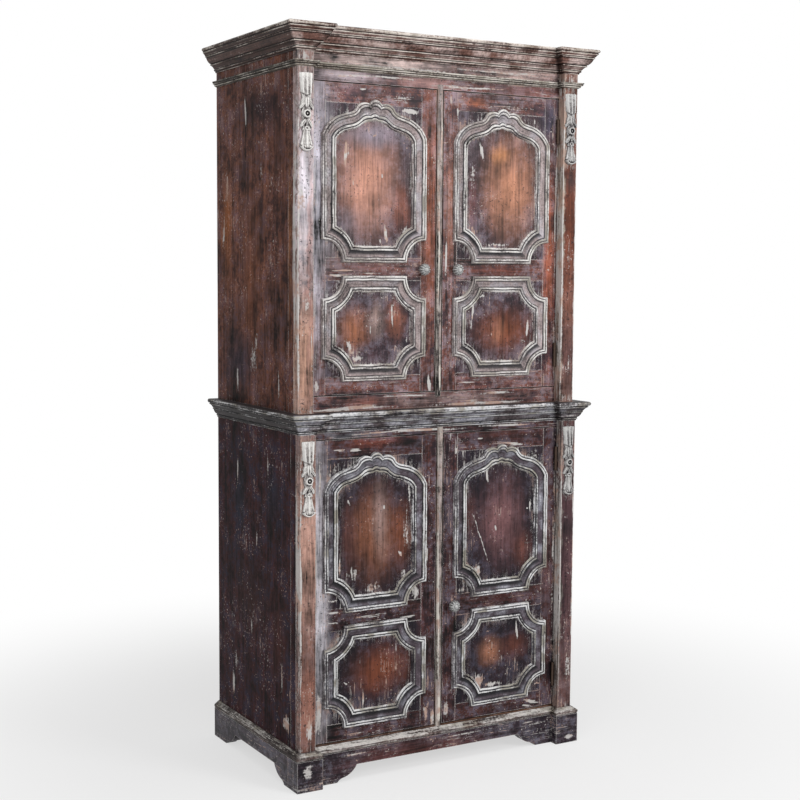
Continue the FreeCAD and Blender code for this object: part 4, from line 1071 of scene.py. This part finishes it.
def dress_front():
    """Materials for the pilasters, beads, rails, doors and plinth."""
    looks = {
        "upper": {"colour": "#663c31", "haze": 0.5, "haze_colour": "#82808c",
                  "edge": "#3f2c30", "edge_haze": "#726d7a", "pilaster": "#9a7466",
                  "soot": "#37313d"},
        "lower": {"colour": "#44251f", "haze": 0.5, "haze_colour": "#5b5d6c",
                  "edge": "#26181c", "edge_haze": "#474654", "pilaster": "#6e4c44",
                  "soot": "#1b1923"}}
    for stage, look in looks.items():
        colour = look["colour"]
        hazy = {"haze": look["haze"], "haze_colour": look["haze_colour"], "soot": look["soot"]}
        paint(aged_wood(stage + "_pilaster_wood", colour=look["pilaster"], haze=0.3,
                        contrast=1.2, streaked=0.4, flecked=0.5, rubbed=1.0, limed=0.8, hollow=0.3,
                        stains_and_painted_light=PILASTER_STAINS_AND_SHEEN[stage], marks=PILASTER_MARKS),
              stage + "_pilasters")
        rail_wood = aged_wood(stage + "_rail_wood", ALONG_X, colour=colour, contrast=1.4,
                              streaked=0.6, stains_and_painted_light=RAIL_STAINS, marks=RAIL_MARKS, **hazy)
        paint(rail_wood, stage + "_top_rail")
        if stage == "upper":
            paint(rail_wood, "upper_bottom_rail")
        paint(aged_wood(stage + "_bead_wood", colour="#887b74", pale="#dcd6cd", contrast=1.8,
                        streaked=1.0, rubbed=0.9, limed=1.0, hollow=0.4, marks=BEAD_MARKS),
              stage + "_centre_bead")
        for side, _ in SIDES:
            door = f"{stage}_{side}_door"
            shared = {"stains_and_painted_light": STAINS_AND_PAINTED_LIGHT[door], "marks": MARKS[door]}
            framed = {"colour": colour, "contrast": 1.4, "flecked": 0.65, **shared, **hazy}
            paint(aged_wood(door + "_stile_wood", **framed), door + "_stiles")
            paint(aged_wood(door + "_rail_wood", ALONG_X, **framed), door + "_rails")
            paint(aged_wood(door + "_panel_wood", colour=look["edge"], haze=0.5,
                            haze_colour=look["edge_haze"], contrast=0.9, streaked=0.25,
                            flecked=0.4, limed=0.8, **shared),
                  door + "_panels")
    paint(aged_wood("plinth_wood", ALONG_RUN, colour="#33262b", haze=0.5, haze_colour="#6b6b78",
                    streaked=0.6, flecked=0.7, rubbed=1.0, limed=0.5, stains_and_painted_light=PLINTH_STAINS,
                    marks=PLINTH_MARKS),
          "plinth_front", "plinth_side_left", "plinth_side_right", "foot_blocks")


# Studio

CAMERA_PLACE = Vector((-2.278, -3.968, 1.512))
CAMERA_YAW = 29.91
CAMERA_PITCH = -5.10
CAMERA_ROLL = 0.369
CAMERA_LENS = 65.0
WORLD_LIGHT = 0.45
WHITE = (1, 1, 1, 1)
FLOOR_GREY = (0.82, 0.82, 0.82, 1)
FLOOR_HALF = 9.0
# The floor lies this far below the object, and shows white at this share near it
FLOOR_DROP = 0.0005
FLOOR_WHITE_SHARE = 0.6
# Where the floor starts to turn white, and where it is white
FLOOR_FADE = (0.8, 2.4)
# Place, target, width, height, power
LIGHTS = {
    "key_light": ((1.5, -3.5, 2.3), (-0.1, 0, 1.6), 1.2, 1.6, 62),
    "fill_light": ((-3.4, -3.2, 2.4), (0, 0, 1.1), 2.0, 2.0, 24),
    "top_light": ((0.0, -1.4, 4.2), (0, 0, 1.6), 2.4, 1.6, 34)}


def make_camera():
    """A camera that stands where the photograph was taken."""
    data = bpy.data.cameras.new("camera")
    data.lens = CAMERA_LENS
    camera = new_object("camera", data)
    turn = (Matrix.Rotation(math.radians(-CAMERA_YAW), 4, "Z")
            @ Matrix.Rotation(math.radians(90 + CAMERA_PITCH), 4, "X")
            @ Matrix.Rotation(math.radians(CAMERA_ROLL), 4, "Z"))
    camera.matrix_world = Matrix.Translation(CAMERA_PLACE) @ turn
    bpy.context.scene.camera = camera


def soft_light(name, place, target, width, height, power):
    data = bpy.data.lights.new(name, "AREA")
    data.shape = "RECTANGLE"
    data.size = width
    data.size_y = height
    data.energy = power
    light = new_object(name, data)
    light.location = place
    light.rotation_euler = (Vector(target) - Vector(place)).to_track_quat("-Z", "Y").to_euler()


def make_world():
    """Plain white behind the object, and a softer grey that lights it."""
    world = bpy.data.worlds.new("studio")
    sky = Nodes(world)
    lighting = sky.add("Background", {"Color": WHITE, "Strength": WORLD_LIGHT})
    seen = sky.add("Background", {"Color": WHITE, "Strength": 1.0})
    chosen = sky.add("MixShader", {0: sky.backdrop_rays(), 1: lighting.outputs[0],
                                   2: seen.outputs[0]})
    sky.add("OutputWorld", {"Surface": chosen.outputs[0]})
    bpy.context.scene.world = world


def make_floor():
    """A pale floor that keeps the shadow and fades into the white backdrop."""
    shader = Shader("studio_floor")
    grey = shader.add("BsdfDiffuse", {"Color": FLOOR_GREY})
    white = shader.add("Emission", {"Color": WHITE, "Strength": 1.0})
    distance = shader.add("VectorMath", {0: shader.place}, operation="LENGTH").outputs["Value"]
    fading = shader.spread(distance, *FLOOR_FADE)
    share = shader.weigh((fading, 1 - FLOOR_WHITE_SHARE), start=FLOOR_WHITE_SHARE)
    mixed = shader.add("MixShader", {0: shader.times(shader.backdrop_rays(), share),
                                     1: grey.outputs[0], 2: white.outputs[0]})
    shader.add("OutputMaterial", {"Surface": mixed.outputs[0]})
    mesh = bpy.data.meshes.new("floor")
    sheet = bmesh.new()
    bmesh.ops.create_grid(sheet, x_segments=8, y_segments=8, size=FLOOR_HALF)
    sheet.to_mesh(mesh)
    sheet.free()
    mesh.materials.append(shader.material)
    floor = new_object("floor", mesh)
    floor.location.z = -FLOOR_DROP


def main():
    rings = {
        "upper": ring_wood("upper_ring_wood", "#a79d9b", "#948685", "#a59e9e", "#16141c",
                           "#ebe9e5", 0.0, 0.82),
        "lower": ring_wood("lower_ring_wood", "#706a6e", "#4c4249", "#6c686b", "#0b0a11",
                           "#e8e8e8", 0.02, 0.92)}
    # The left drops are painted paler than the right ones: painted sheen on the left
    drop_woods = {"left": carved_wood("left_drop_wood_with_painted_sheen", "#837c7a", "#c2bdbb", "#f0eeea"),
                  "right": carved_wood("right_drop_wood", "#504a4a", "#8b8889", "#cccbc9")}
    knob_metal = worn_metal("knob_metal", "#1d1c1d", "#c6c7c6", 0.35, 0.45)
    dress_case()
    dress_front()
    for node, stage, section, *look in RUNS:
        wrapped_run(node, stage, section, run_wood(node.split("_")[0] + "_wood", *look))
    for stage in STAGES:
        for side, side_sign in SIDES:
            door = f"{stage}_{side}_door"
            door_mouldings(door, rings[stage])
            if door + "_knob" in nodes:
                door_knob(door, knob_metal)
            carved_drop(stage, side, side_sign, drop_woods[side])
    make_camera()
    make_world()
    make_floor()
    for name, settings in LIGHTS.items():
        soft_light(name, *settings)
    bpy.context.scene.view_settings.view_transform = "Standard"


main()
